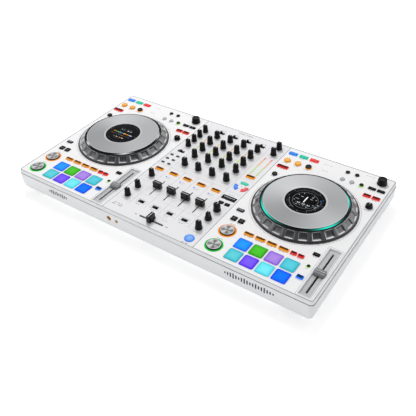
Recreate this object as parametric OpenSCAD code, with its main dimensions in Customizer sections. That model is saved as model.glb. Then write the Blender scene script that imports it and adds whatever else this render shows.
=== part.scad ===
// Four-channel two-deck DJ controller, in millimetres.
// +X is the operator's right, +Y points away from the operator, +Z is up.
// The origin is on the ground, below the middle of the overall footprint.

/* [Case] */
// Width of the case, left to right
case_w = 716; // [714:1:724]
// Depth of the case, front to back, without the rear sockets
case_d = 390.2; // [389:0.2:396]
// Height of the case, without its feet
case_h = 43; // [41:0.5:48]
// Radius of the vertical corners of the case
corner_r = 9; // [5:1:14]
// Wall thickness of the lower case
wall = 3; // [2.4:0.2:4]
// Height of the rubber feet
foot_h = 11.4; // [8:0.2:12.4]
// Radius of each rubber foot
foot_r = 14; // [10:1:18]

/* [Panels] */
// Thickness of the three control panels
panel_t = 2; // [1.6:0.2:2.4]
// Distance between the two decks
deck_pitch = 468.3; // [468:0.1:469]
// Clearance around every key in its panel hole
key_gap = 0.35; // [0.3:0.05:0.45]

/* [Jog wheels] */
// Outer radius of a jog wheel
jog_r = 105.5; // [104:0.5:106]
// Height of a jog wheel's top plate above the panel
jog_h = 19; // [17:0.5:20]
// Radius of the round jog display
jog_display_r = 39.8; // [36:0.2:40]
// Number of finger recesses around the skirt
jog_dimples = 24; // [18:1:30]

/* [Knobs] */
// Height of an equaliser knob
eq_knob_h = 19; // [16:0.5:21]
// Skirt radius of an equaliser knob
eq_knob_r = 7.3; // [6.5:0.1:8]
// Height of a browse knob
browse_knob_h = 13; // [10:0.5:16]

/* [Faders] */
// Height of a mixer fader cap above the panel
fader_h = 15; // [12:0.5:18]
// Width of a mixer fader cap
fader_w = 19; // [16:0.5:20]
// Pitch of the four mixer channels
channel_pitch = 36; // [36:0.1:36.4]

/* [Pads] */
// Side of a performance pad
pad_w = 28.3; // [26:0.1:29]
// Pitch of the performance pads
pad_pitch = 32.2; // [32:0.1:32.6]

/* [Hidden] */
$fn = 64;
eps = 0.01;

// overall footprint is 399.5 deep: the rear sockets stand proud of the case
socket_out = 9.3;
cy = -socket_out / 2;          // centre of the case in Y
pz = foot_h + case_h;          // top face of the control panels
pu = pz - panel_t;             // underside of the control panels
seam_z = foot_h + 35;          // joint between the lower case and the cover
base_z = foot_h + 8;           // top of the base band
fl = foot_h + wall;            // inner floor of the lower case
board_z = foot_h + 27.6;       // underside of the circuit boards
board_t = 1.6;

cover_w = case_w - 1.6;
cover_d = case_d - 1.6;
plate_w = case_w - 6;
plate_d = case_d - 6;
seam_x = 112;                  // joints between mixer panel and deck panels

ch_x = [for (i = [0:3]) (i - 1.5) * channel_pitch + 0.2];
side_x = 91.6;                 // the two outer columns of mixer controls
jog_c = [-235.3, 19];          // left deck; the right deck is one pitch further
decks = [0, deck_pitch];

// channel knob rows: name order is trim, hi, mid, low, filter
row_y = [140, 110.5, 80, 49.5, 13];
row_dx = [0, 0, 0, 0, -0.6];   // the filter knobs sit slightly to the left
mic_y = [147, 123.5, 101, 77.5];
left_y = [-56, -102.5, -135];
right_top_y = [172.5, 146.5];
right_low_y = [-79.5, -110, -142];
browse_p = [-135.9, 170.5];
feel_p = [-129.8, 86];

// faders
tempo_x = -132.4;
tempo_mid = -123.5;            // middle of the 100 mm travel
tempo_rest = -126.2;
tempo_tray = [21.6, 126, 2.6]; // tray width, length, depth
chan_mid = -85;
chan_rest = -84;
cross_y = -173;

// keys on a deck: x, y, width, depth, height above the panel
deck_keys = [
    [-340.2, 172, 20, 9.6, 2], [-314.7, 172, 20, 9.6, 2], [-289.3, 172, 20, 9.6, 2],
    [-337.3, 117, 26, 9.6, 2.2],
    [-146.8, 144.4, 16, 8, 1.8], [-127.8, 144.4, 16, 8, 1.8],
    [-146.8, 117.4, 16, 9.6, 2.2], [-127.8, 117.4, 16, 9.6, 2.2],
    [-337.3, -55, 15.6, 8, 1.8],
    [-334.8, -82.5, 12, 12, 1.8], [-318.4, -82.5, 12, 12, 1.8],
    [-286.6, -106.8, 20, 8, 2.4], [-262.2, -106.8, 20, 8, 2.4],
    [-237.8, -106.8, 20, 8, 2.4], [-213.4, -106.8, 20, 8, 2.4],
    [-193.2, -106.8, 12, 8, 2.4], [-178.8, -106.8, 12, 8, 2.4],
    [-157.2, -88, 13, 8, 1.8], [-157.2, -152.4, 13, 9, 2]];
// round keys on a deck: x, y, radius, height
deck_rounds = [
    [-339.6, 143, 7.2, 3.4], [-314.2, 143, 7.2, 3.4], [-289, 143, 7.2, 4.4],
    [-339.2, 85.4, 6, 3],
    [-210.8, 171, 4.6, 2.4], [-190, 171, 4.6, 2.4],
    [-210.8, 143.2, 5, 2.2], [-190, 143.2, 5, 2.2], [-169, 143, 5, 3.4],
    [-156.4, -121.2, 3.8, 1.8]];
// the two large transport keys
transport = [[-326.8, -119], [-326.8, -165]];
transport_r = 14.6;
transport_h = 3.2;
ring_r = 17.9;                 // light ring around a transport key
// keys on the mixer
mixer_keys = concat(
    [for (x = [-102, -85.8], y = [29, 12.5, -4]) [x, y, 8, 5, 1.4]],
    [[-side_x, -28.8, 19.6, 8.4, 2.6]],
    [for (x = ch_x) [x + 0.4, -28.8, 19.6, 8.4, 2.6]],
    [[side_x, 48.4, 20, 9, 2.4], [84.7, -55, 11, 8, 1.6], [99.4, -55, 11, 8, 1.6]]);
mixer_rounds = [[93, -174.6, 9.8, 1.6]];
arc_c = [93, 10];
// slide switches: slot x, y, slot width, slot depth, lever height
switches = concat(
    [for (x = ch_x) [x + 0.3, -137.6, 12.6, 6.6, 2]],
    [for (x = ch_x) [x - 1.2, 160, 15, 5, 6.4]],
    [[-side_x, 49.8, 15, 4.6, 5]]);
lever = [4.6, 3.8];
switch_travel = 2.8;
pads0 = [-281.8, -136.4];
meter_x = [83.7, 99.6];

// case screws, clear of every control
posts = [[-348.4, 185.4], [348.4, 185.4], [-262, 185.4], [308, 185.4],
    [-112, 100], [112, 100], [-112, -120], [112, -120],
    [-348.4, -185.4], [305, -185.4], [-163, -185.4]];
post_z = foot_h + 20;
feet = [[-322, -166], [322, -166], [-322, 160], [322, 160], [0, -160], [0, 160]];

// front phone sockets and rear sockets
phones_z = foot_h + 21.7;
phones = [-94, -73.9];
rear_z = foot_h + 19;
rca_x = [-232, -216, -186, -170, -140, -124, -94, -78, 2, 18];
trs_x = [50, 72];
mic_x = 276;
xlr_x = [108, 142];
usb_x = [186, 206];
dc_x = 236;

// ---------------------------------------------------------------- helpers
module at(x, y, z = 0) { translate([x, cy + y, z]) children(); }
// exact rounded rectangle
module rr(w, d, r) {
    square([w - 2 * r, d], center = true);
    square([w, d - 2 * r], center = true);
    for (sx = [-1, 1], sy = [-1, 1]) translate([sx * (w / 2 - r), sy * (d / 2 - r)]) circle(r);
}
module block(w, d, r, z0, z1) { translate([0, 0, z0]) linear_extrude(z1 - z0) rr(w, d, r); }
module box3(x0, x1, y0, y1, z0, z1) { translate([x0, y0, z0]) cube([x1 - x0, y1 - y0, z1 - z0]); }
module rod_y(r, y0, y1) { translate([0, y0, 0]) rotate([-90, 0, 0]) cylinder(r = r, h = y1 - y0); }
module tube_y(r, ri, y0, y1) {
    difference() { rod_y(r, y0, y1); rod_y(ri, y0 - 1, y1 + 1); }
}
// part of a ring between two radii, d degrees each side of a
module arc2(r0, r1, a, d) {
    n = 16;
    polygon(concat(
        [for (i = [0:n]) let (t = a - d + 2 * d * i / n) [r1 * cos(t), r1 * sin(t)]],
        [for (i = [n:-1:0]) let (t = a - d + 2 * d * i / n) [r0 * cos(t), r0 * sin(t)]]));
}

// ------------------------------------------------------------------- case
module front_relief(x0, x1, z0, z1, y0, y1) {
    // trapezium across the middle of the front
    translate([0, y1, 0]) rotate([90, 0, 0]) linear_extrude(y1 - y0)
        polygon([[-x0, z0], [x0, z0], [x1, z1], [-x1, z1]]);
}
module lower_case() {
    hw = case_w / 2;
    hd = case_d / 2;
    color("gainsboro") at(0, 0) difference() {
        union() {
            difference() {
                union() {
                    block(case_w - 4, case_d - 4, corner_r - 1, foot_h, base_z);
                    block(case_w, case_d, corner_r, base_z, seam_z);
                }
                block(case_w - 2 * wall - 4, case_d - 2 * wall - 4, corner_r - 4, fl, seam_z + 1);
                // shallow relief in the middle of the front
                front_relief(104, 112, foot_h + 31.3, seam_z + 1, -hd - 1, -hd + 2.4);
                front_relief(113, 103, base_z, foot_h + 13.5, -hd - 1, -hd + 2);
            }
            for (p = posts) translate([p[0], p[1], foot_h]) cylinder(r = 5, h = post_z - foot_h);
            for (p = feet) translate([p[0], p[1], foot_h]) cylinder(r = 9, h = wall + 3);
            // thicker walls behind the hand holds
            for (s = [-1, 1]) box3(s > 0 ? hw - 12 : -hw + 4, s > 0 ? hw - 4 : -hw + 12, -64, 147, foot_h, base_z + 5);
        }
        // hand holds under both sides
        for (s = [-1, 1]) translate([s * (hw - 3), 41.5, foot_h - 1]) linear_extrude(base_z + 1.4 - foot_h) rr(8, 197, 2);
        // screw clearance holes and head pockets
        for (p = posts) translate([p[0], p[1], 0]) {
            translate([0, 0, foot_h - 1]) cylinder(r = 1.8, h = 30);
            translate([0, 0, foot_h - 1]) cylinder(r = 3.4, h = 4);
        }
        for (p = feet) translate([p[0], p[1], foot_h - 1]) cylinder(r = 4.1, h = 5);
        // front sockets
        translate([phones[0], 0, phones_z]) rod_y(5.6, -hd - 1, -hd + 10);
        translate([phones[1], 0, phones_z]) rod_y(3.9, -hd - 1, -hd + 10);
        // window behind the rear socket plate
        box3(-246, 294, hd - 8, hd + 1, foot_h + 5, foot_h + 33);
        // lock slot on the right
        box3(hw - 8, hw + 1, 49, 56, foot_h + 10, foot_h + 13);
        // air vents in the floor
        for (i = [-6:6]) box3(i * 9 - 1.5, i * 9 + 1.5, 60, 100, foot_h - 1, fl + 1);
    }
}
module upper_cover() {
    color("whitesmoke") at(0, 0) difference() {
        union() {
            difference() {
                block(cover_w, cover_d, corner_r - 0.8, seam_z, pz);
                block(plate_w + 0.4, plate_d + 0.4, corner_r - 3, pu, pz + 1);
                block(plate_w - 5, plate_d - 5, corner_r - 5, seam_z - 1, pz);
            }
            // ribs under the seams between the panels
            for (s = [-1, 1]) box3(s * seam_x - 1.4, s * seam_x + 1.4, -plate_d / 2, plate_d / 2, pu - 5, pu);
            for (p = posts) translate([p[0], p[1], post_z]) cylinder(r = 4, h = pu - post_z);
            // webs from the outer posts to the rim of the cover
            for (p = posts) if (abs(p[1]) > 180)
                box3(p[0] - 3, p[0] + 3, p[1] > 0 ? p[1] : -cover_d / 2 + 3, p[1] > 0 ? cover_d / 2 - 3 : p[1], seam_z + 0.4, pu);
            // apron that closes the relief in the middle of the front
            front_relief(104, 110.8, foot_h + 31.5, seam_z + 0.5, -case_d / 2, -case_d / 2 + 2.2);
        }
        for (p = posts) translate([p[0], p[1], post_z - 1]) cylinder(r = 1.35, h = 15);
    }
}
module key_hole(w, d) { translate([0, 0, pu - 1]) linear_extrude(panel_t + 2) rr(w + 2 * key_gap, d + 2 * key_gap, 1.2 + key_gap); }
module deck_holes() {
    for (k = deck_keys) translate([k[0], k[1], 0]) key_hole(k[2], k[3]);
    for (k = deck_rounds) translate([k[0], k[1], pu - 1]) cylinder(r = k[2] + key_gap, h = panel_t + 2);
    for (t = transport) translate([t[0], t[1], pu - 1]) cylinder(r = ring_r + 0.1, h = panel_t + 2);
    for (i = [0:3], j = [0:1]) translate([pads0[0] + i * pad_pitch, pads0[1] - j * pad_pitch, 0]) key_hole(pad_w, pad_w);
    translate([jog_c[0], jog_c[1], pu - 1]) cylinder(r = 22, h = panel_t + 2);
    for (p = [browse_p, feel_p]) translate([p[0], p[1], pu - 1]) cylinder(r = 4.2, h = panel_t + 2);
    translate([tempo_x, tempo_mid + 0.5, pz - tempo_tray[2]]) linear_extrude(tempo_tray[2] + 1) rr(tempo_tray[0], tempo_tray[1], 1.6);
    translate([tempo_x, tempo_mid, pu - 4]) linear_extrude(10) rr(2.2, 107, 1);
}
module mixer_holes() {
    for (k = mixer_keys) translate([k[0], k[1], 0]) key_hole(k[2], k[3]);
    for (k = mixer_rounds) translate([k[0], k[1], pu - 1]) cylinder(r = k[2] + key_gap, h = panel_t + 2);
    for (a = [90, 210, 330]) translate([arc_c[0], arc_c[1], pu - 1]) linear_extrude(panel_t + 2) arc2(8.2, 16.6, a, 40);
    for (s = switches) translate([s[0], s[1], pu - 1]) linear_extrude(panel_t + 2) square([s[2], s[3]], center = true);
    for (x = ch_x, j = [0:4]) translate([x + row_dx[j], row_y[j], pu - 1]) cylinder(r = 4.2, h = panel_t + 2);
    for (y = concat(mic_y, left_y)) translate([-side_x, y, pu - 1]) cylinder(r = 4.2, h = panel_t + 2);
    for (y = concat(right_top_y, right_low_y)) translate([side_x, y, pu - 1]) cylinder(r = 4.2, h = panel_t + 2);
    for (x = ch_x) translate([x, chan_mid, pu - 1]) linear_extrude(panel_t + 2) rr(2.4, 53, 1.1);
    translate([0, cross_y, pu - 1]) linear_extrude(panel_t + 2) rr(56, 2.4, 1.1);
    // light windows
    for (x = meter_x) box3(x - 1.6, x + 1.6, 59, 128, pu - 1, pz + 1);
    for (x = ch_x) box3(x - 16.8, x - 14, 58, 124, pu - 1, pz + 1);
    box3(75, 108, -42.2, -28.8, pu - 1, pz + 1);
    for (x = ch_x) translate([x - 7.3, -44, pu - 1]) cylinder(r = 1.3, h = panel_t + 2);
    translate([-side_x - 1, 61, pu - 1]) cylinder(r = 1.3, h = panel_t + 2);
    translate([side_x, 131, pu - 1]) cylinder(r = 1.5, h = panel_t + 2);
}
module control_panels() {
    color("white") at(0, 0) {
        for (c = decks) difference() {
            x0 = c == 0 ? -plate_w / 2 : seam_x + 0.2;
            x1 = c == 0 ? -seam_x - 0.2 : plate_w / 2;
            union() {
                intersection() {
                    block(plate_w, plate_d, corner_r - 3.2, pu, pz);
                    box3(x0, x1, -plate_d, plate_d, pu - 1, pz + 1);
                }
                // tray of the tempo slider
                translate([tempo_x + c, tempo_mid + 0.5, 0]) block(tempo_tray[0] + 2.4, tempo_tray[1] + 2.4, 2, pz - tempo_tray[2] - 1.2, pu + eps);
            }
            translate([c, 0, 0]) deck_holes();
        }
        difference() {
            box3(-seam_x + 0.2, seam_x - 0.2, -plate_d / 2, plate_d / 2, pu, pz);
            mixer_holes();
        }
    }
}

// --------------------------------------------------- boards and components
// rotary control: body under the panel with a bored bush
module pot() {
    difference() {
        union() {
            translate([-5, -5.5, board_z + board_t]) cube([10, 11, 6]);
            translate([0, 0, board_z + board_t + 6]) cylinder(r = 4, h = pu - 0.4 - board_z - board_t - 6);
        }
        translate([0, 0, board_z + board_t + 3]) cylinder(r = 3.4, h = 20);
    }
}
// slide control: long body with a slot for the lever
module slide_pot(w, len) {
    z0 = board_z + board_t;
    difference() {
        translate([-w / 2, -len / 2, z0]) cube([w, len, 7]);
        translate([-1.2, -len / 2 + 3, z0 + 2]) cube([2.4, len - 6, 10]);
    }
}
// room for the round sockets behind
module xlr_notches() { for (x = xlr_x) box3(x - 11.4, x + 11.4, 172, 190, board_z - 1, board_z + 3); }
module circuit_boards() {
    color("darkgreen") at(0, 0) {
        difference() {
            box3(-106, 106, -182, 182, board_z, board_z + board_t);
            for (x = [-98, 98], y = [-170, 0, 158]) translate([x, y, board_z - 1]) cylinder(r = 1.6, h = 4);
            xlr_notches();
        }
        for (c = decks) difference() {
            union() {
                box3(-340 + c, -118 + c, 131, 181, board_z, board_z + board_t);
                box3(-340 + c, -118 + c, -180, -92, board_z, board_z + board_t);
                box3(-128 + c, -118 + c, -93, 132, board_z, board_z + board_t);
                // the left deck's strip on its outer side
                box3(-344 + c, -333 + c, -93, 132, board_z, board_z + board_t);
            }
            translate([jog_c[0] + c, jog_c[1], board_z - 1]) cylinder(r = 98, h = 4);
            xlr_notches();
            for (p = posts) translate([p[0], p[1], board_z - 1]) cylinder(r = 5.4, h = 4);
        }
        // main board behind, over the rear sockets
        box3(-250, 290, 120, 160, foot_h + 9, foot_h + 10.6);
        for (x = [-200, -60, 90, 250]) box3(x, x + 18, 132, 150, foot_h + 10.6, foot_h + 13);
    }
    color("silver") at(0, 0) {
        for (x = ch_x, j = [0:4]) translate([x + row_dx[j], row_y[j], 0]) pot();
        for (y = concat(mic_y, left_y)) translate([-side_x, y, 0]) pot();
        for (y = concat(right_top_y, right_low_y)) translate([side_x, y, 0]) pot();
        for (c = decks, p = [browse_p, feel_p]) translate([p[0] + c, p[1], 0]) pot();
        for (x = ch_x) translate([x, chan_mid, 0]) slide_pot(8, 66);
        translate([0, cross_y, 0]) rotate([0, 0, 90]) slide_pot(8, 68);
        for (c = decks) translate([tempo_x + c, tempo_mid, 0]) slide_pot(8, 116);
    }
    // black housings of the slide switches
    color("black") at(0, 0) for (s = switches) translate([s[0], s[1], 0])
        box3(-s[2] / 2, s[2] / 2, -s[3] / 2 - 0.5, s[3] / 2 + 0.5, board_z + board_t, pu - 1.6);
}

// ---------------------------------------------------------------- sockets
module phono(x) {
    hd = case_d / 2;
    translate([x, 0, rear_z]) difference() {
        union() { rod_y(6.2, hd - 0.5, hd + 1); rod_y(4.15, hd - 8, hd + socket_out); }
        rod_y(1.6, hd, hd + socket_out + 1);
    }
}
module jacks() {
    hd = case_d / 2;
    // front phone sockets
    color("goldenrod") at(0, 0) {
        translate([phones[0], 0, phones_z]) difference() {
            rod_y(5.3, -hd, -hd + 26);
            rod_y(3.2, -hd - 1, -hd + 24.4);
        }
        translate([phones[1], 0, phones_z]) difference() {
            rod_y(3.6, -hd, -hd + 16);
            rod_y(1.8, -hd - 1, -hd + 14.6);
        }
    }
    color("dimgray") at(0, 0) {
        // plate behind the rear sockets
        difference() {
            box3(-245, 293, hd - 3.5, hd - 0.5, foot_h + 6, foot_h + 32);
            for (x = concat(rca_x)) translate([x, 0, rear_z]) rod_y(4.15, hd - 6, hd + 1);
            for (x = concat(trs_x, [mic_x])) translate([x, 0, rear_z]) rod_y(5.6, hd - 6, hd + 1);
            for (x = xlr_x) translate([x, 0, rear_z]) rod_y(10.6, hd - 6, hd + 1);
            for (x = usb_x) translate([x, 0, rear_z]) box3(-4.6, 4.6, hd - 6, hd + 1, -1.7, 1.7);
            translate([dc_x, 0, rear_z]) rod_y(2.9, hd - 6, hd + 1);
        }
        for (x = rca_x) phono(x);
        for (x = concat(trs_x, [mic_x])) translate([x, 0, rear_z]) difference() {
            union() { rod_y(5.6, hd - 22, hd - 0.5); rod_y(7, hd - 0.5, hd + 1.5); }
            rod_y(3.2, hd - 20.5, hd + 3);
        }
        for (x = xlr_x) translate([x, 0, rear_z]) {
            difference() {
                union() { rod_y(10.6, hd - 20, hd - 0.5); rod_y(12, hd - 0.5, hd + 2); }
                rod_y(9.3, hd - 14, hd + 3);
            }
            for (a = [30, 150, 270]) translate([4.6 * cos(a), 0, 4.6 * sin(a)]) rod_y(1.2, hd - 14.5, hd - 5.5);
        }
        translate([dc_x, 0, rear_z]) difference() {
            union() { rod_y(4.5, hd - 15, hd - 4); rod_y(1, hd - 15, hd - 1.5); }
            difference() { rod_y(2.9, hd - 12, hd); rod_y(1, hd - 13, hd + 1); }
        }
    }
}
module rubber_feet() {
    color("black") at(0, 0) for (p = feet) translate([p[0], p[1], 0]) {
        rotate_extrude() polygon([[0, 0], [foot_r - 2, 0], [foot_r - 1, 1], [foot_r, foot_h - 2], [foot_r, foot_h],
            [4, foot_h], [4, foot_h + 3.6], [0, foot_h + 3.6]]);
    }
}
module case_screws() {
    color("dimgray") at(0, 0) for (p = posts) translate([p[0], p[1], 0]) difference() {
        union() {
            translate([0, 0, foot_h + 0.6]) cylinder(r = 3, h = 2.4);
            translate([0, 0, foot_h + 3]) cylinder(r = 1.3, h = 27);
        }
        translate([0, 0, foot_h]) { box3(-2, 2, -0.4, 0.4, 0, 2); box3(-0.4, 0.4, -2, 2, 0, 2); }
    }
}

// ------------------------------------------------------- displays and lights
module displays() {
    color("black") at(0, 0) {
        for (c = decks) translate([jog_c[0] + c, jog_c[1], 0]) {
            rotate_extrude() polygon([[0, pz + 14], [jog_display_r - 1, pz + 14], [jog_display_r, pz + 15],
                [jog_display_r, pz + jog_h - 1.4], [jog_display_r - 0.6, pz + jog_h - 0.8], [0, pz + jog_h - 0.8]]);
        }
        box3(75.2, 107.8, -42, -29, pu - 3, pz + 0.4);
    }
    color("yellowgreen") at(0, 0) {
        for (x = meter_x) box3(x - 1.5, x + 1.5, 59.2, 127.8, pu - 1, pz + 0.1);
        for (x = ch_x) box3(x - 16.7, x - 14.1, 58.2, 123.8, pu - 1, pz + 0.1);
        for (x = ch_x) translate([x - 7.3, -44, pu - 1]) cylinder(r = 1.2, h = panel_t + 1.3);
        translate([-side_x - 1, 61, pu - 1]) cylinder(r = 1.2, h = panel_t + 1.3);
        translate([side_x, 131, pu - 1]) cylinder(r = 1.4, h = panel_t + 1.3);
    }
    // light rings around the transport keys
    color("orange") at(0, 0) for (c = decks, t = transport) translate([t[0] + c, t[1], 0]) difference() {
        union() {
            translate([0, 0, board_z + board_t]) cylinder(r = ring_r, h = pz + 0.2 - board_z - board_t);
            translate([0, 0, pz + 0.2]) cylinder(r = ring_r - 0.5, h = 0.7);
        }
        translate([0, 0, board_z]) cylinder(r = 15.1, h = 30);
    }
}

// -------------------------------------------------------------- jog wheels
module jog_spindles() {
    color("lightsteelblue") at(0, 0) for (c = decks) translate([jog_c[0] + c, jog_c[1], 0])
        rotate_extrude() polygon([[0, fl], [30, fl], [30, fl + 3], [16, fl + 5], [16, pz - 3], [11.92, pz - 3],
            [11.92, pz + 10], [20, pz + 10.5], [20, pz + 14], [0, pz + 14]]);
}
module jog_wheel() {
    difference() {
        rotate_extrude() polygon([
            [12, pz - 2.4], [16, pz - 2.4], [16, pz + 3], [99, pz + 3], [100, pz + 0.6], [jog_r - 0.5, pz + 0.6],
            [jog_r, pz + 1.1], [jog_r, pz + 1.8], [jog_r - 0.5, pz + 2.3], [jog_r - 2, pz + 2.6],
            [jog_r - 2.6, pz + 3.2], [89, pz + jog_h - 2.8], [88.4, pz + jog_h - 2.2], [87, pz + jog_h - 2.2],
            [86.4, pz + jog_h - 3], [86.4, pz + 7], [64, pz + 7], [64, pz + jog_h - 2.4],
            [60, pz + jog_h - 2.4], [60, pz + 7], [16, pz + 7], [16, pz + 9.4], [12, pz + 9.4]]);
        // finger recesses in the sloping skirt
        for (i = [0:jog_dimples - 1]) rotate([0, 0, i * 360 / jog_dimples - 5])
            translate([95.6, 0, pz + 9.6]) rotate([0, 45, 0]) translate([-7.2, -8.6, -1.2]) cube([14.6, 17.2, 6]);
    }
}
module jog_plate() {
    z1 = pz + jog_h;
    rotate_extrude() polygon([[40.2, z1 - 3.4], [41.4, z1 - 3.4], [41.4, z1 - 2.4], [82.6, z1 - 2.4], [83.3, z1 - 1.8],
        [83.3, z1 - 1.2], [82.3, z1], [43.6, z1], [42.6, z1 - 0.5], [40.2, z1 - 0.5]]);
}
module left_jog_wheel() { color("dimgray") at(jog_c[0], jog_c[1]) jog_wheel(); }
module right_jog_wheel() { color("dimgray") at(jog_c[0] + deck_pitch, jog_c[1]) jog_wheel(); }
module left_jog_plate() { color("silver") at(jog_c[0], jog_c[1]) jog_plate(); }
module right_jog_plate() { color("silver") at(jog_c[0] + deck_pitch, jog_c[1]) jog_plate(); }

// ------------------------------------------------------------------ faders
// cap with a dished top; the blade under it runs in the slide control
module fader_cap() {
    difference() {
        union() {
            translate([-fader_w / 2, 0, 0]) rotate([90, 0, 90]) linear_extrude(fader_w)
                polygon([[-5, pz + 1], [5, pz + 1], [5, pz + 2.4], [4, pz + 5], [3.7, pz + 9], [4, pz + fader_h],
                    [-4, pz + fader_h], [-3.7, pz + 9], [-4, pz + 5], [-5, pz + 2.4]]);
            translate([-0.6, -3, board_z + board_t + 3]) cube([1.2, 6, pz + 2 - board_z - board_t - 3]);
        }
        translate([-20, 0, pz + fader_h + 10.4]) rotate([0, 90, 0]) cylinder(r = 11, h = 40);
    }
}
module channel_fader(i) { color("black") at(ch_x[i], chan_rest) fader_cap(); }
module ch1_fader() { channel_fader(0); }
module ch2_fader() { channel_fader(1); }
module ch3_fader() { channel_fader(2); }
module ch4_fader() { channel_fader(3); }
module crossfader() { color("black") at(0, cross_y) rotate([0, 0, 90]) fader_cap(); }
module tempo_cap() {
    z0 = pz - tempo_tray[2] + 0.6;
    union() {
        translate([-10.2, 0, 0]) rotate([90, 0, 90]) linear_extrude(20.4)
            polygon([[-6.8, z0], [6.8, z0], [6.8, pz + 1.6], [6, pz + 5], [1.6, pz + 4.4], [0.6, pz + 5.8],
                [-0.6, pz + 5.8], [-1.6, pz + 4.4], [-6, pz + 5], [-6.8, pz + 1.6]]);
        translate([-0.6, -3, board_z + board_t + 3]) cube([1.2, 6, z0 + 1 - board_z - board_t - 3]);
    }
}
module left_tempo_slider() { color("gray") at(tempo_x, tempo_rest) tempo_cap(); }
module right_tempo_slider() { color("gray") at(tempo_x + deck_pitch, tempo_rest) tempo_cap(); }

// ------------------------------------------------------------------- knobs
// h height, r0 skirt, r1 waist, r2 top; the stem turns in the bush below
module knob(x, y, h, r0, r1, r2, flat = 0) {
    z0 = pz + 0.6;
    at(x, y) difference() {
        union() {
            rotate_extrude() polygon([[0, z0], [r0, z0], [r0, z0 + 1], [r0 - 0.25, z0 + 2], [r1 + 0.3, z0 + 3.4],
                [r1, z0 + 4.6], [r2, pz + h - 0.8], [r2 - 0.8, pz + h], [0, pz + h]]);
            translate([0, 0, board_z + board_t + 3.4]) cylinder(r = 3, h = pz + 2 - board_z - board_t - 3.4);
        }
        // pointer groove
        translate([-0.5, r2 * 0.25, pz + h - 0.5]) cube([1, 20, 10]);
        // grip flats of a pointer knob
        if (flat > 0) for (s = [-1, 1]) translate([s > 0 ? flat : -flat - 10, -20, pz + 6.4]) cube([10, 40, h]);
    }
}
module channel_knob(i, j) {
    color("black") {
        if (j == 0) knob(ch_x[i], row_y[0], 16.8, 7.2, 6.5, 5.6);
        if (j > 0 && j < 4) knob(ch_x[i], row_y[j], eq_knob_h, eq_knob_r, 6.6, 5.8);
        if (j == 4) knob(ch_x[i] + row_dx[4], row_y[4], 17.4, 7.4, 6.9, 6.3);
    }
}
module ch1_trim_knob() { channel_knob(0, 0); }
module ch1_hi_knob() { channel_knob(0, 1); }
module ch1_mid_knob() { channel_knob(0, 2); }
module ch1_low_knob() { channel_knob(0, 3); }
module ch1_filter_knob() { channel_knob(0, 4); }
module ch2_trim_knob() { channel_knob(1, 0); }
module ch2_hi_knob() { channel_knob(1, 1); }
module ch2_mid_knob() { channel_knob(1, 2); }
module ch2_low_knob() { channel_knob(1, 3); }
module ch2_filter_knob() { channel_knob(1, 4); }
module ch3_trim_knob() { channel_knob(2, 0); }
module ch3_hi_knob() { channel_knob(2, 1); }
module ch3_mid_knob() { channel_knob(2, 2); }
module ch3_low_knob() { channel_knob(2, 3); }
module ch3_filter_knob() { channel_knob(2, 4); }
module ch4_trim_knob() { channel_knob(3, 0); }
module ch4_hi_knob() { channel_knob(3, 1); }
module ch4_mid_knob() { channel_knob(3, 2); }
module ch4_low_knob() { channel_knob(3, 3); }
module ch4_filter_knob() { channel_knob(3, 4); }
module slim_knob(y) { color("black") knob(-side_x, y, 17, 6.8, 6, 5.2); }
module mic1_level_knob() { slim_knob(mic_y[0]); }
module mic2_level_knob() { slim_knob(mic_y[1]); }
module mic_hi_knob() { slim_knob(mic_y[2]); }
module mic_low_knob() { slim_knob(mic_y[3]); }
module color_knob() { color("black") knob(-side_x, left_y[0], 17, 7, 6.2, 5.5); }
module phones_mix_knob() { color("black") knob(-side_x, left_y[1], 17, 7, 6.2, 5.5); }
module phones_level_knob() { color("black") knob(-side_x, left_y[2], 17, 7, 6.2, 5.5); }
module master_level_knob() { color("black") knob(side_x, right_top_y[0], 18, 7.3, 6.5, 5.7); }
module booth_level_knob() { color("black") knob(side_x, right_top_y[1], 18, 7.3, 6.5, 5.7); }
module fx_select_knob() { color("black") knob(side_x, right_low_y[0], 17, 8, 7.3, 7); }
module fx_channel_knob() { color("black") knob(side_x, right_low_y[1], 17, 7.6, 6.8, 5.2, 3.2); }
module fx_depth_knob() { color("black") knob(side_x, right_low_y[2], 18, 7.6, 6.8, 5.8); }
module browse_knob(c) { color("black") knob(browse_p[0] + c, browse_p[1], browse_knob_h, 10.6, 9.8, 9.1); }
module left_browse_knob() { browse_knob(0); }
module right_browse_knob() { browse_knob(deck_pitch); }
module feel_knob(c) { color("black") knob(feel_p[0] + c, feel_p[1], 8, 7.5, 6.9, 6.4); }
module left_feel_knob() { feel_knob(0); }
module right_feel_knob() { feel_knob(deck_pitch); }

// -------------------------------------------------------- pads and buttons
// every key has a flange under the panel that stops it at the top
module key(w, d, h, r = 1.2) {
    block(w, d, r, pu - 1.8, pz + h);
    block(w + 2, d + 2, r + 0.6, pu - 2.6, pu - 0.4);
}
module round_key(r, h) {
    translate([0, 0, pu - 1.8]) cylinder(r = r, h = pz + h - pu + 1.8);
    translate([0, 0, pu - 2.6]) cylinder(r = r + 1, h = 2.2);
}
module performance_pads() {
    color("deepskyblue") at(0, 0) for (c = decks, i = [0:3], j = [0:1])
        translate([pads0[0] + c + i * pad_pitch, pads0[1] - j * pad_pitch, 0]) key(pad_w, pad_w, 1.3, 2.2);
}
module deck_buttons() {
    color("darkslategray") at(0, 0) for (c = decks) translate([c, 0, 0]) {
        for (k = deck_keys) translate([k[0], k[1], 0]) key(k[2], k[3], k[4]);
        for (k = deck_rounds) translate([k[0], k[1], 0]) round_key(k[2], k[3]);
        for (t = transport) translate([t[0], t[1], 0]) {
            translate([0, 0, pu - 3]) cylinder(r = transport_r, h = pz + transport_h - pu + 3);
        }
    }
}
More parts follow.
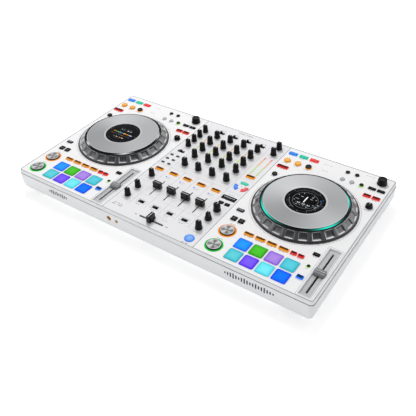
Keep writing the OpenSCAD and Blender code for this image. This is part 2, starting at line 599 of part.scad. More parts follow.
module mixer_buttons() {
    color("darkorange") at(0, 0) {
        for (k = mixer_keys) translate([k[0], k[1], 0]) key(k[2], k[3], k[4]);
        for (k = mixer_rounds) translate([k[0], k[1], 0]) round_key(k[2], k[3]);
        for (a = [90, 210, 330]) translate([arc_c[0], arc_c[1], 0]) {
            translate([0, 0, pu - 1.8]) linear_extrude(pz + 2 - pu + 1.8) arc2(8.6, 16.2, a, 38);
            translate([0, 0, pu - 2.6]) linear_extrude(2.2) arc2(7.8, 17, a, 41.5);
        }
    }
}
module slide_switches() {
    color("black") at(0, 0) for (s = switches) translate([s[0], s[1], 0]) {
        block(lever[0], lever[1], 0.6, pu - 0.9, pz + s[4]);
        box3(-lever[0] / 2 - 2, lever[0] / 2 + 2, -lever[1] / 2 - 0.8, lever[1] / 2 + 0.8, pu - 1.2, pu - 0.4);
    }
}

lower_case();
upper_cover();
control_panels();
circuit_boards();
jacks();
rubber_feet();
case_screws();
displays();
jog_spindles();
left_jog_wheel();
left_jog_plate();
right_jog_wheel();
right_jog_plate();
left_tempo_slider();
right_tempo_slider();
ch1_fader();
ch2_fader();
ch3_fader();
ch4_fader();
crossfader();
ch1_trim_knob();
ch1_hi_knob();
ch1_mid_knob();
ch1_low_knob();
ch1_filter_knob();
ch2_trim_knob();
ch2_hi_knob();
ch2_mid_knob();
ch2_low_knob();
ch2_filter_knob();
ch3_trim_knob();
ch3_hi_knob();
ch3_mid_knob();
ch3_low_knob();
ch3_filter_knob();
ch4_trim_knob();
ch4_hi_knob();
ch4_mid_knob();
ch4_low_knob();
ch4_filter_knob();
mic1_level_knob();
mic2_level_knob();
mic_hi_knob();
mic_low_knob();
color_knob();
phones_mix_knob();
phones_level_knob();
master_level_knob();
booth_level_knob();
fx_select_knob();
fx_channel_knob();
fx_depth_knob();
left_browse_knob();
right_browse_knob();
left_feel_knob();
right_feel_knob();
performance_pads();
deck_buttons();
mixer_buttons();
slide_switches();
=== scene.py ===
import bpy, bmesh, math, random
from math import sin, cos, pi, radians
from mathutils import Vector, Matrix


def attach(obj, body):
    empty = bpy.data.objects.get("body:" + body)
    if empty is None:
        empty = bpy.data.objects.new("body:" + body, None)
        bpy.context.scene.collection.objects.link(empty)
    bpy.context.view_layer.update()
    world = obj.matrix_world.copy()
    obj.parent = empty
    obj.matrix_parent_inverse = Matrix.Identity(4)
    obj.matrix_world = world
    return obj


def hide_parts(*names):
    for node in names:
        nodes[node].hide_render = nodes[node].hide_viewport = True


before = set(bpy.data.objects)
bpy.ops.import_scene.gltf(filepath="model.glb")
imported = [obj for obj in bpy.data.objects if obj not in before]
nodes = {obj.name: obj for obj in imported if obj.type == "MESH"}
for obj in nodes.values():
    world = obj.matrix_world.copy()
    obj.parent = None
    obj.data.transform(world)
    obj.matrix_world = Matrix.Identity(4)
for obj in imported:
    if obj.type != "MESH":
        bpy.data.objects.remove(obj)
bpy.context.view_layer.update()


# millimetres, measured from the middle of the case; CY moves them to the part's frame
CY = -4.65
PZ = 54.4
PU = 52.4
HD = 195.1
HW = 358.0
DX = 468.3
JOG = (-235.3, 19.0)
SIDE = 91.6
CH = [-53.8, -17.8, 18.2, 54.2]
REAR_Z = 30.4


def hexc(h):
    out = []
    for k in (0, 2, 4):
        c = int(h[k:k + 2], 16) / 255
        out.append(c / 12.92 if c <= 0.04045 else ((c + 0.055) / 1.055) ** 2.4)
    return tuple(out)


# ------------------------------------------------------------------ materials
def new_mat(name):
    m = bpy.data.materials.new(name)
    m.use_nodes = True
    nt = m.node_tree
    return m, nt, nt.nodes["Principled BSDF"]


def grain(nt, bsdf, col, amount, scale, rough, rough_var, bump, bump_scale, bump_dist=0.00012, stretch=None):
    """fine colour, roughness and height variation from object-space noise"""
    N, L = nt.nodes, nt.links
    tc = N.new("ShaderNodeTexCoord")
    src = tc.outputs["Object"]
    if stretch:
        mp = N.new("ShaderNodeMapping")
        mp.inputs["Scale"].default_value = stretch
        L.new(src, mp.inputs["Vector"])
        src = mp.outputs["Vector"]
    n1 = N.new("ShaderNodeTexNoise")
    n1.inputs["Scale"].default_value = scale
    n1.inputs["Detail"].default_value = 4
    L.new(src, n1.inputs["Vector"])
    ramp = N.new("ShaderNodeValToRGB")
    e = ramp.color_ramp.elements
    e[0].position, e[1].position = 0.3, 0.7
    e[0].color = (*[max(0, c * (1 - amount)) for c in col], 1)
    e[1].color = (*[min(1, c * (1 + amount)) for c in col], 1)
    L.new(n1.outputs["Fac"], ramp.inputs["Fac"])
    mr = N.new("ShaderNodeMapRange")
    mr.inputs["To Min"].default_value = max(0.03, rough - rough_var)
    mr.inputs["To Max"].default_value = min(1, rough + rough_var)
    L.new(n1.outputs["Fac"], mr.inputs["Value"])
    L.new(mr.outputs["Result"], bsdf.inputs["Roughness"])
    n2 = N.new("ShaderNodeTexNoise")
    n2.inputs["Scale"].default_value = bump_scale
    n2.inputs["Detail"].default_value = 3
    L.new(src, n2.inputs["Vector"])
    bp = N.new("ShaderNodeBump")
    bp.inputs["Strength"].default_value = bump
    bp.inputs["Distance"].default_value = bump_dist
    L.new(n2.outputs["Fac"], bp.inputs["Height"])
    L.new(bp.outputs["Normal"], bsdf.inputs["Normal"])
    return ramp.outputs["Color"], tc


def plastic(name, h, rough=0.45, var=0.05, amount=0.03, scale=60, bump=0.12, bump_scale=2600, spec=0.5, coat=0.0, metal=0.0):
    m, nt, b = new_mat(name)
    c = hexc(h) if isinstance(h, str) else h
    out, _ = grain(nt, b, c, amount, scale, rough, var, bump, bump_scale)
    nt.links.new(out, b.inputs["Base Color"])
    b.inputs["Specular IOR Level"].default_value = spec
    b.inputs["Metallic"].default_value = metal
    if coat:
        b.inputs["Coat Weight"].default_value = coat
        b.inputs["Coat Roughness"].default_value = 0.12
    return m


def lit(name, strength, rough=0.35, amount=0.05, base=0.45, spec=0.22):
    """translucent lens lit from behind; its colour is painted on the mesh"""
    m, nt, b = new_mat(name)
    N, L = nt.nodes, nt.links
    at = N.new("ShaderNodeAttribute")
    at.attribute_name = "Col"
    out, tc = grain(nt, b, (0.93, 0.93, 0.93), amount, 900, rough, 0.05, 0.1, 3000)
    mul = N.new("ShaderNodeMix")
    mul.data_type = "RGBA"
    mul.blend_type = "MULTIPLY"
    mul.inputs["Factor"].default_value = 1.0
    L.new(at.outputs["Color"], mul.inputs["A"])
    L.new(out, mul.inputs["B"])
    dk = N.new("ShaderNodeMix")
    dk.data_type = "RGBA"
    dk.blend_type = "MULTIPLY"
    dk.inputs["Factor"].default_value = 1.0
    L.new(mul.outputs["Result"], dk.inputs["A"])
    dk.inputs["B"].default_value = (base, base, base, 1)
    L.new(dk.outputs["Result"], b.inputs["Base Color"])
    L.new(mul.outputs["Result"], b.inputs["Emission Color"])
    b.inputs["Emission Strength"].default_value = strength
    b.inputs["Specular IOR Level"].default_value = spec
    return m


def spun(name, h, rough, centre, freq=1400, aniso=0.6, amount=0.06, painted_fans=(), low="9c9da0", painted_highlight_hex="f2f3f5"):
    """turned metal: rings round a centre, a radial tangent, and soft fans of painted highlight (positive weight) and
    painted shade (negative weight) laid into the base colour, given as (angle, power, weight)
    """
    m, nt, b = new_mat(name)
    N, L = nt.nodes, nt.links
    tc = N.new("ShaderNodeNewGeometry")
    sub = N.new("ShaderNodeVectorMath")
    sub.operation = "SUBTRACT"
    sub.inputs[1].default_value = (centre[0] / 1000, (CY + centre[1]) / 1000, 0)
    L.new(tc.outputs["Position"], sub.inputs[0])
    sep = N.new("ShaderNodeSeparateXYZ")
    L.new(sub.outputs["Vector"], sep.inputs["Vector"])
    cmb = N.new("ShaderNodeCombineXYZ")
    L.new(sep.outputs["X"], cmb.inputs["X"])
    L.new(sep.outputs["Y"], cmb.inputs["Y"])
    ln = N.new("ShaderNodeVectorMath")
    ln.operation = "LENGTH"
    L.new(cmb.outputs["Vector"], ln.inputs[0])
    n1 = N.new("ShaderNodeTexNoise")
    n1.noise_dimensions = "1D"
    n1.inputs["Scale"].default_value = freq
    n1.inputs["Detail"].default_value = 3
    L.new(ln.outputs["Value"], n1.inputs["W"])
    ramp = N.new("ShaderNodeValToRGB")
    c = hexc(h)
    ramp.color_ramp.elements[0].color = (*[x * (1 - amount) for x in c], 1)
    ramp.color_ramp.elements[1].color = (*[min(1, x * (1 + amount)) for x in c], 1)
    L.new(n1.outputs["Fac"], ramp.inputs["Fac"])
    colour = ramp.outputs["Color"]
    nm = N.new("ShaderNodeVectorMath")
    nm.operation = "NORMALIZE"
    L.new(cmb.outputs["Vector"], nm.inputs[0])
    # each fan paints a highlight or a shade into the base colour, strongest along its angle
    for ang, power, weight in painted_fans:
        dt = N.new("ShaderNodeVectorMath")
        dt.operation = "DOT_PRODUCT"
        dt.inputs[1].default_value = (cos(radians(ang)), sin(radians(ang)), 0)
        L.new(nm.outputs["Vector"], dt.inputs[0])
        mxz = N.new("ShaderNodeMath")
        mxz.operation = "MAXIMUM"
        mxz.inputs[1].default_value = 0.0
        L.new(dt.outputs["Value"], mxz.inputs[0])
        pw = N.new("ShaderNodeMath")
        pw.operation = "POWER"
        pw.inputs[1].default_value = power
        L.new(mxz.outputs["Value"], pw.inputs[0])
        wt_ = N.new("ShaderNodeMath")
        wt_.operation = "MULTIPLY"
        wt_.inputs[1].default_value = abs(weight)
        L.new(pw.outputs["Value"], wt_.inputs[0])
        mx = N.new("ShaderNodeMix")
        mx.data_type = "RGBA"
        L.new(wt_.outputs["Value"], mx.inputs["Factor"])
        L.new(colour, mx.inputs["A"])
        # painted highlight colour where the weight is positive, painted shade colour (low) where it is negative
        mx.inputs["B"].default_value = (*hexc(painted_highlight_hex if weight > 0 else low), 1)
        colour = mx.outputs["Result"]
    L.new(colour, b.inputs["Base Color"])
    mr = N.new("ShaderNodeMapRange")
    mr.inputs["To Min"].default_value = rough - 0.04
    mr.inputs["To Max"].default_value = rough + 0.05
    L.new(n1.outputs["Fac"], mr.inputs["Value"])
    L.new(mr.outputs["Result"], b.inputs["Roughness"])
    bp = N.new("ShaderNodeBump")
    bp.inputs["Strength"].default_value = 0.10
    bp.inputs["Distance"].default_value = 0.00005
    L.new(n1.outputs["Fac"], bp.inputs["Height"])
    L.new(bp.outputs["Normal"], b.inputs["Normal"])
    b.inputs["Metallic"].default_value = 1.0
    b.inputs["Anisotropic"].default_value = aniso
    L.new(nm.outputs["Vector"], b.inputs["Tangent"])
    return m


def panel_material():
    """satin white panels; the mixer panel between the two seams is a shade greyer"""
    m, nt, b = new_mat("panel_white")
    N, L = nt.nodes, nt.links
    out, tc = grain(nt, b, hexc("f4f4f5"), 0.008, 40, 0.20, 0.03, 0.04, 2400)
    sep = N.new("ShaderNodeSeparateXYZ")
    L.new(tc.outputs["Object"], sep.inputs["Vector"])
    ab = N.new("ShaderNodeMath")
    ab.operation = "ABSOLUTE"
    L.new(sep.outputs["X"], ab.inputs[0])
    gt = N.new("ShaderNodeMath")
    gt.operation = "LESS_THAN"
    gt.inputs[1].default_value = 0.112
    L.new(ab.outputs["Value"], gt.inputs[0])
    mx = N.new("ShaderNodeMix")
    mx.data_type = "RGBA"
    L.new(gt.outputs["Value"], mx.inputs["Factor"])
    L.new(out, mx.inputs["A"])
    mx.inputs["B"].default_value = (*hexc("ebebed"), 1)
    L.new(mx.outputs["Result"], b.inputs["Base Color"])
    b.inputs["Specular IOR Level"].default_value = 0.5
    return m


def board_material():
    m, nt, b = new_mat("solder_mask")
    N, L = nt.nodes, nt.links
    tc = N.new("ShaderNodeTexCoord")
    br = N.new("ShaderNodeTexBrick")
    br.inputs["Scale"].default_value = 160
    br.inputs["Color1"].default_value = (0.01, 0.07, 0.03, 1)
    br.inputs["Color2"].default_value = (0.015, 0.09, 0.04, 1)
    br.inputs["Mortar"].default_value = (0.04, 0.16, 0.07, 1)
    L.new(tc.outputs["Object"], br.inputs["Vector"])
    L.new(br.outputs["Color"], b.inputs["Base Color"])
    b.inputs["Roughness"].default_value = 0.4
    return m


def jack_material():
    """brass front sockets; behind, a black socket plate with nickel shells"""
    m, nt, b = new_mat("socket_metal")
    N, L = nt.nodes, nt.links
    out, tc = grain(nt, b, (0.5, 0.5, 0.5), 0.08, 500, 0.32, 0.06, 0.1, 2500)
    sep = N.new("ShaderNodeSeparateXYZ")
    L.new(tc.outputs["Object"], sep.inputs["Vector"])

    def step(src, val):
        g = N.new("ShaderNodeMath")
        g.operation = "GREATER_THAN"
        g.inputs[1].default_value = val
        L.new(src, g.inputs[0])
        return g.outputs["Value"]

    back = step(sep.outputs["Y"], 0.0)
    proud = step(sep.outputs["Y"], (CY + HD - 0.35) / 1000)
    a = N.new("ShaderNodeMix")
    a.data_type = "RGBA"
    L.new(back, a.inputs["Factor"])
    a.inputs["A"].default_value = (*hexc("c99a52"), 1)
    a.inputs["B"].default_value = (*hexc("2c2d30"), 1)
    c = N.new("ShaderNodeMix")
    c.data_type = "RGBA"
    L.new(proud, c.inputs["Factor"])
    L.new(a.outputs["Result"], c.inputs["A"])
    c.inputs["B"].default_value = (*hexc("b9babd"), 1)
    L.new(c.outputs["Result"], b.inputs["Base Color"])
    inv = N.new("ShaderNodeMath")
    inv.operation = "SUBTRACT"
    inv.inputs[0].default_value = 1
    L.new(back, inv.inputs[1])
    mxm = N.new("ShaderNodeMath")
    mxm.operation = "MAXIMUM"
    L.new(inv.outputs["Value"], mxm.inputs[0])
    L.new(proud, mxm.inputs[1])
    L.new(mxm.outputs["Value"], b.inputs["Metallic"])
    return m


M_case = plastic("case_plastic", "dcdddf", 0.42, 0.04, 0.012, 40, 0.10, 2200)
M_panel = panel_material()
M_board = board_material()
M_jack = jack_material()
M_rubber = plastic("foot_rubber", "141414", 0.8, 0.06, 0.2, 300, 0.4, 1500, 0.3)
M_screw = plastic("screw_steel", "55565a", 0.35, 0.08, 0.1, 800, 0.2, 3000, 0.5, 0, 1.0)
M_black = plastic("knob_rubber", "070708", 0.40, 0.06, 0.15, 700, 0.12, 2500, 0.20)
M_cap = plastic("cap_plastic", "060607", 0.25, 0.05, 0.12, 500, 0.05, 2500, 0.24)
M_blackgloss = plastic("gloss_black", "0b0b0c", 0.16, 0.03, 0.1, 200, 0.03, 1500, 0.55, 0.3)
M_smoke = plastic("smoked_window", "0a0706", 0.24, 0.04, 0.12, 400, 0.03, 2500, 0.12)
M_skirt = plastic("jog_skirt", "97989b", 0.25, 0.03, 0.03, 120, 0.02, 1200, 0.5, 0.2, 0.85)
M_recess = plastic("jog_recess", "88898c", 0.17, 0.03, 0.03, 120, 0.01, 1200, 0.5, 0.3, 0.85)
# light lip and near-black recess edge for the jog skirts: painted highlight and painted shadow
M_lip_painted_highlight = plastic("jog_lip_painted_highlight", "e6e7ea", 0.22, 0.03, 0.03, 120, 0.01, 1200, 0.6, 0.2, 0.9)
M_shade = plastic("jog_recess_painted_shadow", "1c1c1e", 0.3, 0.03, 0.05, 120, 0.01, 1200, 0.5, 0.2, 0.0)
M_gap = plastic("jog_gap_black", "060606", 0.5, 0.05, 0.1, 300, 0.1, 2500, 0.2)
M_white = plastic("pointer_white", "e8e8ea", 0.5, 0.05, 0.02, 300, 0.06, 3000)
M_print = plastic("print_grey", "717378", 0.6, 0.05, 0.04, 900, 0.04, 4000, 0.3)
M_printd = plastic("print_dark", "3c3e42", 0.6, 0.05, 0.04, 900, 0.04, 4000, 0.3)
M_printl = plastic("print_light", "a2a4a8", 0.6, 0.05, 0.03, 900, 0.04, 4000, 0.3)
M_edge = plastic("panel_edge", "c2c4c6", 0.4, 0.03, 0.03, 120, 0.02, 1200, 0.3, 0.0)
M_glass = plastic("display_glass", "010102", 0.07, 0.02, 0.1, 60, 0.004, 900, 0.06, 0.0)
M_lit = lit("lit_lens", 0.92, 0.4, 0.05, 0.10, 0.15)
M_led = lit("led_lens", 1.12, 0.35, 0.05, 0.1, 0.15)
M_screen = lit("screen_pixels", 1.25, 0.2, 0.03, 0.05, 0.1)
M_pad = lit("pad_silicone", 0.97, 0.5, 0.03, 0.08, 0.12)
M_tray = plastic("tray_metal", "c3c4c6", 0.34, 0.05, 0.04, 900, 0.08, 2600, 0.5, 0, 0.1)
M_grey = plastic("tempo_grey", "8f9092", 0.34, 0.05, 0.04, 500, 0.06, 3000, 0.5, 0, 0.2)
M_keygrey = plastic("key_grey", "6c6e72", 0.4, 0.05, 0.05, 500, 0.12, 3000)
M_keypale = plastic("key_pale", "cfd1d4", 0.35, 0.05, 0.03, 500, 0.1, 3000)
M_chrome = plastic("chrome_ring", "dfe1e4", 0.14, 0.04, 0.03, 200, 0.03, 1500, 0.5, 0, 1.0)
M_side = plastic("cap_side", "3c3d40", 0.28, 0.05, 0.08, 500, 0.08, 2500, 0.5, 0, 0.8)
M_slot = plastic("slot_black", "070707", 0.7, 0.05, 0.1, 500, 0.1, 2500, 0.2)

# ------------------------------------------------------------- mesh builder
UP = ("z", 0, 0)


class Piece:
    def __init__(self):
        self.v, self.f, self.m, self.c, self.mats = [], [], [], [], []

    def mi(self, mat):
        if mat not in self.mats:
            self.mats.append(mat)
        return self.mats.index(mat)

    def add(self, verts, faces, mat, cols=None):
        b = len(self.v)
        self.v += [tuple(p) for p in verts]
        self.c += list(cols) if cols else [(1, 1, 1)] * len(verts)
        if isinstance(mat, list):
            for f, m in zip(faces, mat):
                self.f.append([b + i for i in f])
                self.m.append(self.mi(m))
        else:
            k = self.mi(mat)
            for f in faces:
                self.f.append([b + i for i in f])
                self.m.append(k)

    def rings(self, rings, mat, cols=None, cap0=True, cap1=True, loop=False):
        """skin over closed rings of equal length; a ring of one point is a pole"""
        verts, faces, mats, idx, vc = [], [], [], [], []
        for k, r in enumerate(rings):
            idx.append(list(range(len(verts), len(verts) + len(r))))
            verts += r
            vc += [cols[k] if cols else (1, 1, 1)] * len(r) if not (cols and isinstance(cols[k], list)) else cols[k]
        n = max(len(r) for r in rings)
        pairs = [(k, k + 1) for k in range(len(rings) - 1)]
        if loop:
            pairs.append((len(rings) - 1, 0))
        for band, (a, b) in enumerate(pairs):
            A, B = idx[a], idx[b]
            mt0 = mat[band] if isinstance(mat, list) else mat
            for j in range(n):
                j2 = (j + 1) % n
                mt = mt0(j) if callable(mt0) else mt0
                if len(A) == 1 and len(B) == 1:
                    continue
                if len(A) == 1:
                    faces.append([A[0], B[j2], B[j]])
                elif len(B) == 1:
                    faces.append([A[j], A[j2], B[0]])
                else:
                    faces.append([A[j], A[j2], B[j2], B[j]])
                mats.append(mt)
        if not loop:
            if cap0 and len(idx[0]) > 1:
                faces.append(idx[0][::-1])
                mats.append(mat[0] if isinstance(mat, list) else mat)
            if cap1 and len(idx[-1]) > 1:
                faces.append(idx[-1][:])
                mats.append(mat[-1] if isinstance(mat, list) else mat)
        self.add(verts, faces, mats, vc)

    def stack(self, f, levels, mat, cols=None, cap0=True, cap1=True):
        self.rings([[(x, y, z) for x, y in f(i)] for i, z in levels], mat, cols, cap0, cap1)

    def lathe(self, x, y, prof, mat, n=48, loop=False, axis=UP, rf=None, cols=None):
        out = []
        for k, (r, z) in enumerate(prof):
            if r < 1e-6:
                ring = [(0, 0, z)]
            else:
                ring = []
                for j in range(n):
                    a = 2 * pi * j / n
                    rr = rf(k, a, r) if rf else r
                    ring.append((rr * cos(a), rr * sin(a), z))
            if axis == UP:
                ring = [(x + p[0], y + p[1], p[2]) for p in ring]
            elif axis == "+y":
                ring = [(x + p[0], p[2], y - p[1]) for p in ring]
            elif axis == "-y":
                ring = [(x + p[0], -p[2], y + p[1]) for p in ring]
            out.append(ring)
        self.rings(out, mat, cols, loop=loop)

    def frame_strip(self, f, i0, i1, z0, z1, mat, cols=None):
        o, i = f(i0), f(i1)
        self.rings([[(x, y, z0) for x, y in i], [(x, y, z0) for x, y in o], [(x, y, z1) for x, y in o], [(x, y, z1) for x, y in i]],
                   mat, cols, loop=True)

    def bar(self, x0, y0, x1, y1, w, mat, z0=PZ - 0.03, z1=PZ + 0.05, col=(1, 1, 1)):
        dx, dy = x1 - x0, y1 - y0
        l = math.hypot(dx, dy)
        nx, ny = -dy / l * w / 2, dx / l * w / 2
        q = [(x0 - nx, y0 - ny), (x1 - nx, y1 - ny), (x1 + nx, y1 + ny), (x0 + nx, y0 + ny)]
        self.rings([[(x, y, z0) for x, y in q], [(x, y, z1) for x, y in q]], mat, [col, col])

    def done(self, name, body, replaces=(), angle=33):
        me = bpy.data.meshes.new(name)
        me.from_pydata([(x / 1000, (y + CY) / 1000, z / 1000) for x, y, z in self.v], [], self.f)
        for m in self.mats:
            me.materials.append(m)
        me.polygons.foreach_set("material_index", self.m)
        at = me.color_attributes.new("Col", "FLOAT_COLOR", "POINT")
        at.data.foreach_set("color", [q for c in self.c for q in (c[0], c[1], c[2], 1.0)])
        bm = bmesh.new()
        bm.from_mesh(me)
        bm.normal_update()
        for fc in bm.faces:
            fc.smooth = True
        lim = radians(angle)
        for e in bm.edges:
            if len(e.link_faces) == 2:
                if e.calc_face_angle(0) > lim:
                    e.smooth = False
            else:
                e.smooth = False
        bm.to_mesh(me)
        bm.free()
        ob = bpy.data.objects.new(name, me)
        bpy.context.scene.collection.objects.link(ob)
        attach(ob, body)
        if replaces:
            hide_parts(*replaces)
        return ob


def rr_pts(w, d, r, n=5):
    w, d = max(w, 0.02), max(d, 0.02)
    r = max(0.005, min(r, w / 2 - 0.004, d / 2 - 0.004))
    pts = []
    for cx, cy, a0 in ((w / 2 - r, d / 2 - r, 0), (-w / 2 + r, d / 2 - r, 90), (-w / 2 + r, -d / 2 + r, 180), (w / 2 - r, -d / 2 + r, 270)):
        for k in range(n + 1):
            a = radians(a0 + 90 * k / n)
            pts.append((cx + r * cos(a), cy + r * sin(a)))
    return pts


def o_rr(x, y, w, d, r, n=5):
    return lambda i: [(x + p, y + q) for p, q in rr_pts(w - 2 * i, d - 2 * i, r - i * 0.8, n)]


def o_circle(x, y, r, n=40):
    return lambda i: [(x + (r - i) * cos(2 * pi * k / n), y + (r - i) * sin(2 * pi * k / n)) for k in range(n)]


def o_arc(x, y, r0, r1, a, d, n=14, cr=1.6):
    """piece of a ring with rounded corners"""
    def f(i):
        pts = []
        ri, ro = r0 + i, r1 - i
        c = max(0.1, cr - i * 0.7)
        do = d - math.degrees(i / ro)
        di = d - math.degrees(i / ri)
        co = math.degrees(c / ro)
        ci = math.degrees(c / ri)
        for k in range(n + 1):
            t = a - (do - co) + 2 * (do - co) * k / n
            pts.append((ro, t))
        pts.append((ro - c * 0.3, a + do - co * 0.3))
        pts.append((ro - c, a + do))
        pts.append((ri + c, a + di))
        pts.append((ri + c * 0.3, a + di - ci * 0.3))
        for k in range(n + 1):
            t = a + (di - ci) - 2 * (di - ci) * k / n
            pts.append((ri, t))
        pts.append((ri + c * 0.3, a - di + ci * 0.3))
        pts.append((ri + c, a - di))
        pts.append((ro - c, a - do))
        pts.append((ro - c * 0.3, a - do + co * 0.3))
        return [(x + r * cos(radians(t)), y + r * sin(radians(t))) for r, t in pts]
    return f


def mixc(a, b, t):
    return tuple(a[k] * (1 - t) + b[k] * t for k in range(3))


# ------------------------------------------------ carried-over CAD pieces
def dress(name, mat, bevel=0.0, seg=2):
    ob = nodes[name]
    ob.data.materials.clear()
    ob.data.materials.append(mat)
    if bevel:
        w = ob.modifiers.new("weld", "WELD")
        w.merge_threshold = 0.000002
        b = ob.modifiers.new("edge", "BEVEL")
        b.width = bevel / 1000
        b.segments = seg
        b.limit_method = "ANGLE"
        b.angle_limit = radians(50)
        b.harden_normals = False
        b.use_clamp_overlap = True


dress("lower_case", M_case, 0.5)
dress("upper_cover", M_case, 0.8, 3)
dress("control_panels", M_panel, 0.22)
dress("circuit_boards", M_board)
dress("jacks", M_jack, 0.15)
dress("case_screws", M_screw)
dress("jog_spindles", M_tray)

# --------------------------------------------------------------- rubber feet
P = Piece()
for x, y in ((-322, -166), (322, -166), (-322, 160), (322, 160), (0, -160), (0, 160)):
    prof = [(0, 0.5), (9, 0.5), (9.4, 0.0), (12, 0.0), (12.6, 0.3), (13, 1.0), (13.4, 4.4), (13.1, 4.7), (13.1, 5.4), (13.5, 5.7),
            (14, 9.2), (14, 11.4), (4, 11.4), (4, 15), (0, 15)]
    P.lathe(x, y, prof, M_rubber, 48)
P.done("rubber_feet_moulded", "chassis", ["rubber_feet"])


# --------------------------------------------------------------------- knobs
def knob(name, x, y, h, r0, r1, r2, kind="eq"):
    h -= 0.1
    P = Piece()
    flutes = 20
    n = flutes * 5
    prof = [(0, 44.0), (3, 44.0), (3, PZ + 0.6), (r0 - 0.4, PZ + 0.6), (r0, PZ + 0.9), (r0, PZ + 1.5), (r0 - 0.25, PZ + 2.1),
            (r1 + 0.5, PZ + 3.0), (r1 + 0.1, PZ + 3.9), (r1, PZ + 5.0)]
    body = len(prof)
    steps = 5
    for k in range(1, steps + 1):
        t = k / steps
        prof.append((r1 + (r2 - r1) * t, PZ + 5.0 + (h - 6.6) * t))
    last = len(prof)
    if kind == "browse":
        top = [(r2 - 0.15, PZ + h - 0.8), (r2 - 0.6, PZ + h - 0.25), (r2 - 1.2, PZ + h), (r2 - 1.9, PZ + h), (r2 - 2.4, PZ + h - 0.7), (2.0, PZ + h - 1.1), (0, PZ + h - 1.1)]
    elif kind == "feel":
        prof = prof[:7] + [(r1 + 0.2, PZ + 2.8), (r1, PZ + 3.6), (r2 + 0.1, PZ + h - 1.2)]
        body, last = 7, 10
        top = [(r2 - 0.2, PZ + h - 0.5), (r2 - 0.9, PZ + h), (0, PZ + h)]
    else:
        top = [(r2 - 0.15, PZ + h - 0.9), (r2 - 0.5, PZ + h - 0.35), (r2 - 1.1, PZ + h - 0.05), (r2 - 1.8, PZ + h), (0, PZ + h)]
    prof += top
    depth = 0.26 if kind != "browse" else 0.2

    def rf(k, a, r):
        if kind == "pointer" and k >= body:
            z = prof[k][1]
            t = min(1.0, max(0.0, (z - PZ - 5.0) / 2.4))
            # two flats leave a grip bar along Y
            sx = abs(cos(a))
            lim = 3.3 / max(sx, 1e-3)
            return r * (1 - t) + min(r, lim) * t
        if body <= k < last:
            return r - depth * (0.5 + 0.5 * cos(flutes * a)) ** 2
        return r

    mats = []
    for k in range(len(prof) - 1):
        mats.append(M_cap if (k < body - 2 and k > 2) or (kind == "browse" and k >= last + 2) else M_black)
    P.lathe(x, y, prof, mats, n, rf=rf)
    # pale pointer: across the top and down the side
    w = 0.55 if kind != "browse" else 0.0
    if w:
        pts = []
        topz = PZ + h
        r_in = r2 * (0.15 if kind != "feel" else 0.1)
        line = [(r_in, topz), (r2 - 1.7, topz), (r2 - 1.1, topz - 0.05), (r2 - 0.5, topz - 0.35), (r2 - 0.15, topz - 0.9)]
        if kind == "feel":
            line = [(r_in, topz), (r2 - 0.9, topz), (r2 - 0.2, topz - 0.5)]
        if kind in ("eq", "pointer"):
            for k in range(steps, 1, -1):
                t = k / steps
                line.append((r1 + (r2 - r1) * t, PZ + 5.0 + (h - 6.6) * t))
        out = 0.09
        ring_top, ring_bot = [], []
        for k, (r, z) in enumerate(line):
            flat = k < 2
            oy, oz = (0, out) if flat else (out, out * 0.3)
            ring_top.append((r + oy, z + oz))
            ring_bot.append((r - 0.25, z - 0.25))
        rings = []
        for (a, b), (c, d) in zip(ring_top, ring_bot):
            rings.append([(x - w, y + c, d), (x - w, y + a, b), (x + w, y + a, b), (x + w, y + c, d)])
        P.rings(rings, M_white)
    nd = name
    return P.done(nd + "_moulded", nd, [nd])


rows = {"trim": (140, 16.8, 7.2, 6.5, 5.6, 0), "hi": (110.5, 19, 7.3, 6.6, 5.8, 0), "mid": (80, 19, 7.3, 6.6, 5.8, 0),
        "low": (49.5, 19, 7.3, 6.6, 5.8, 0), "filter": (13, 17.4, 7.4, 6.9, 6.3, -0.6)}
knob_spots = []
for i in range(4):
    for nm, (y, h, a, b, c, dx) in rows.items():
        knob("ch%d_%s_knob" % (i + 1, nm), CH[i] + dx, y, h, a, b, c)
        knob_spots.append((CH[i] + dx, y, a))
for nm, y in (("mic1_level", 147), ("mic2_level", 123.5), ("mic_hi", 101), ("mic_low", 77.5)):
    knob(nm + "_knob", -SIDE, y, 17, 6.8, 6, 5.2)
    knob_spots.append((-SIDE, y, 6.8))
for nm, y in (("color", -56), ("phones_mix", -102.5), ("phones_level", -135)):
    knob(nm + "_knob", -SIDE, y, 17, 7, 6.2, 5.5)
    knob_spots.append((-SIDE, y, 7))
for nm, y in (("master_level", 172.5), ("booth_level", 146.5)):
    knob(nm + "_knob", SIDE, y, 18, 7.3, 6.5, 5.7)
    knob_spots.append((SIDE, y, 7.3))
knob("fx_select_knob", SIDE, -79.5, 17, 8, 7.3, 7)
knob("fx_channel_knob", SIDE, -110, 17, 7.6, 6.8, 5.2, "pointer")
knob("fx_depth_knob", SIDE, -142, 18, 7.6, 6.8, 5.8)
knob_spots += [(SIDE, -110, 7.6), (SIDE, -142, 7.6)]
for s, dx in (("left", 0), ("right", DX)):
    knob(s + "_browse_knob", -135.9 + dx, 170.5, 13, 10.6, 9.8, 9.1, "browse")
    knob(s + "_feel_knob", -129.8 + dx, 86, 8, 7.5, 6.9, 6.4, "feel")


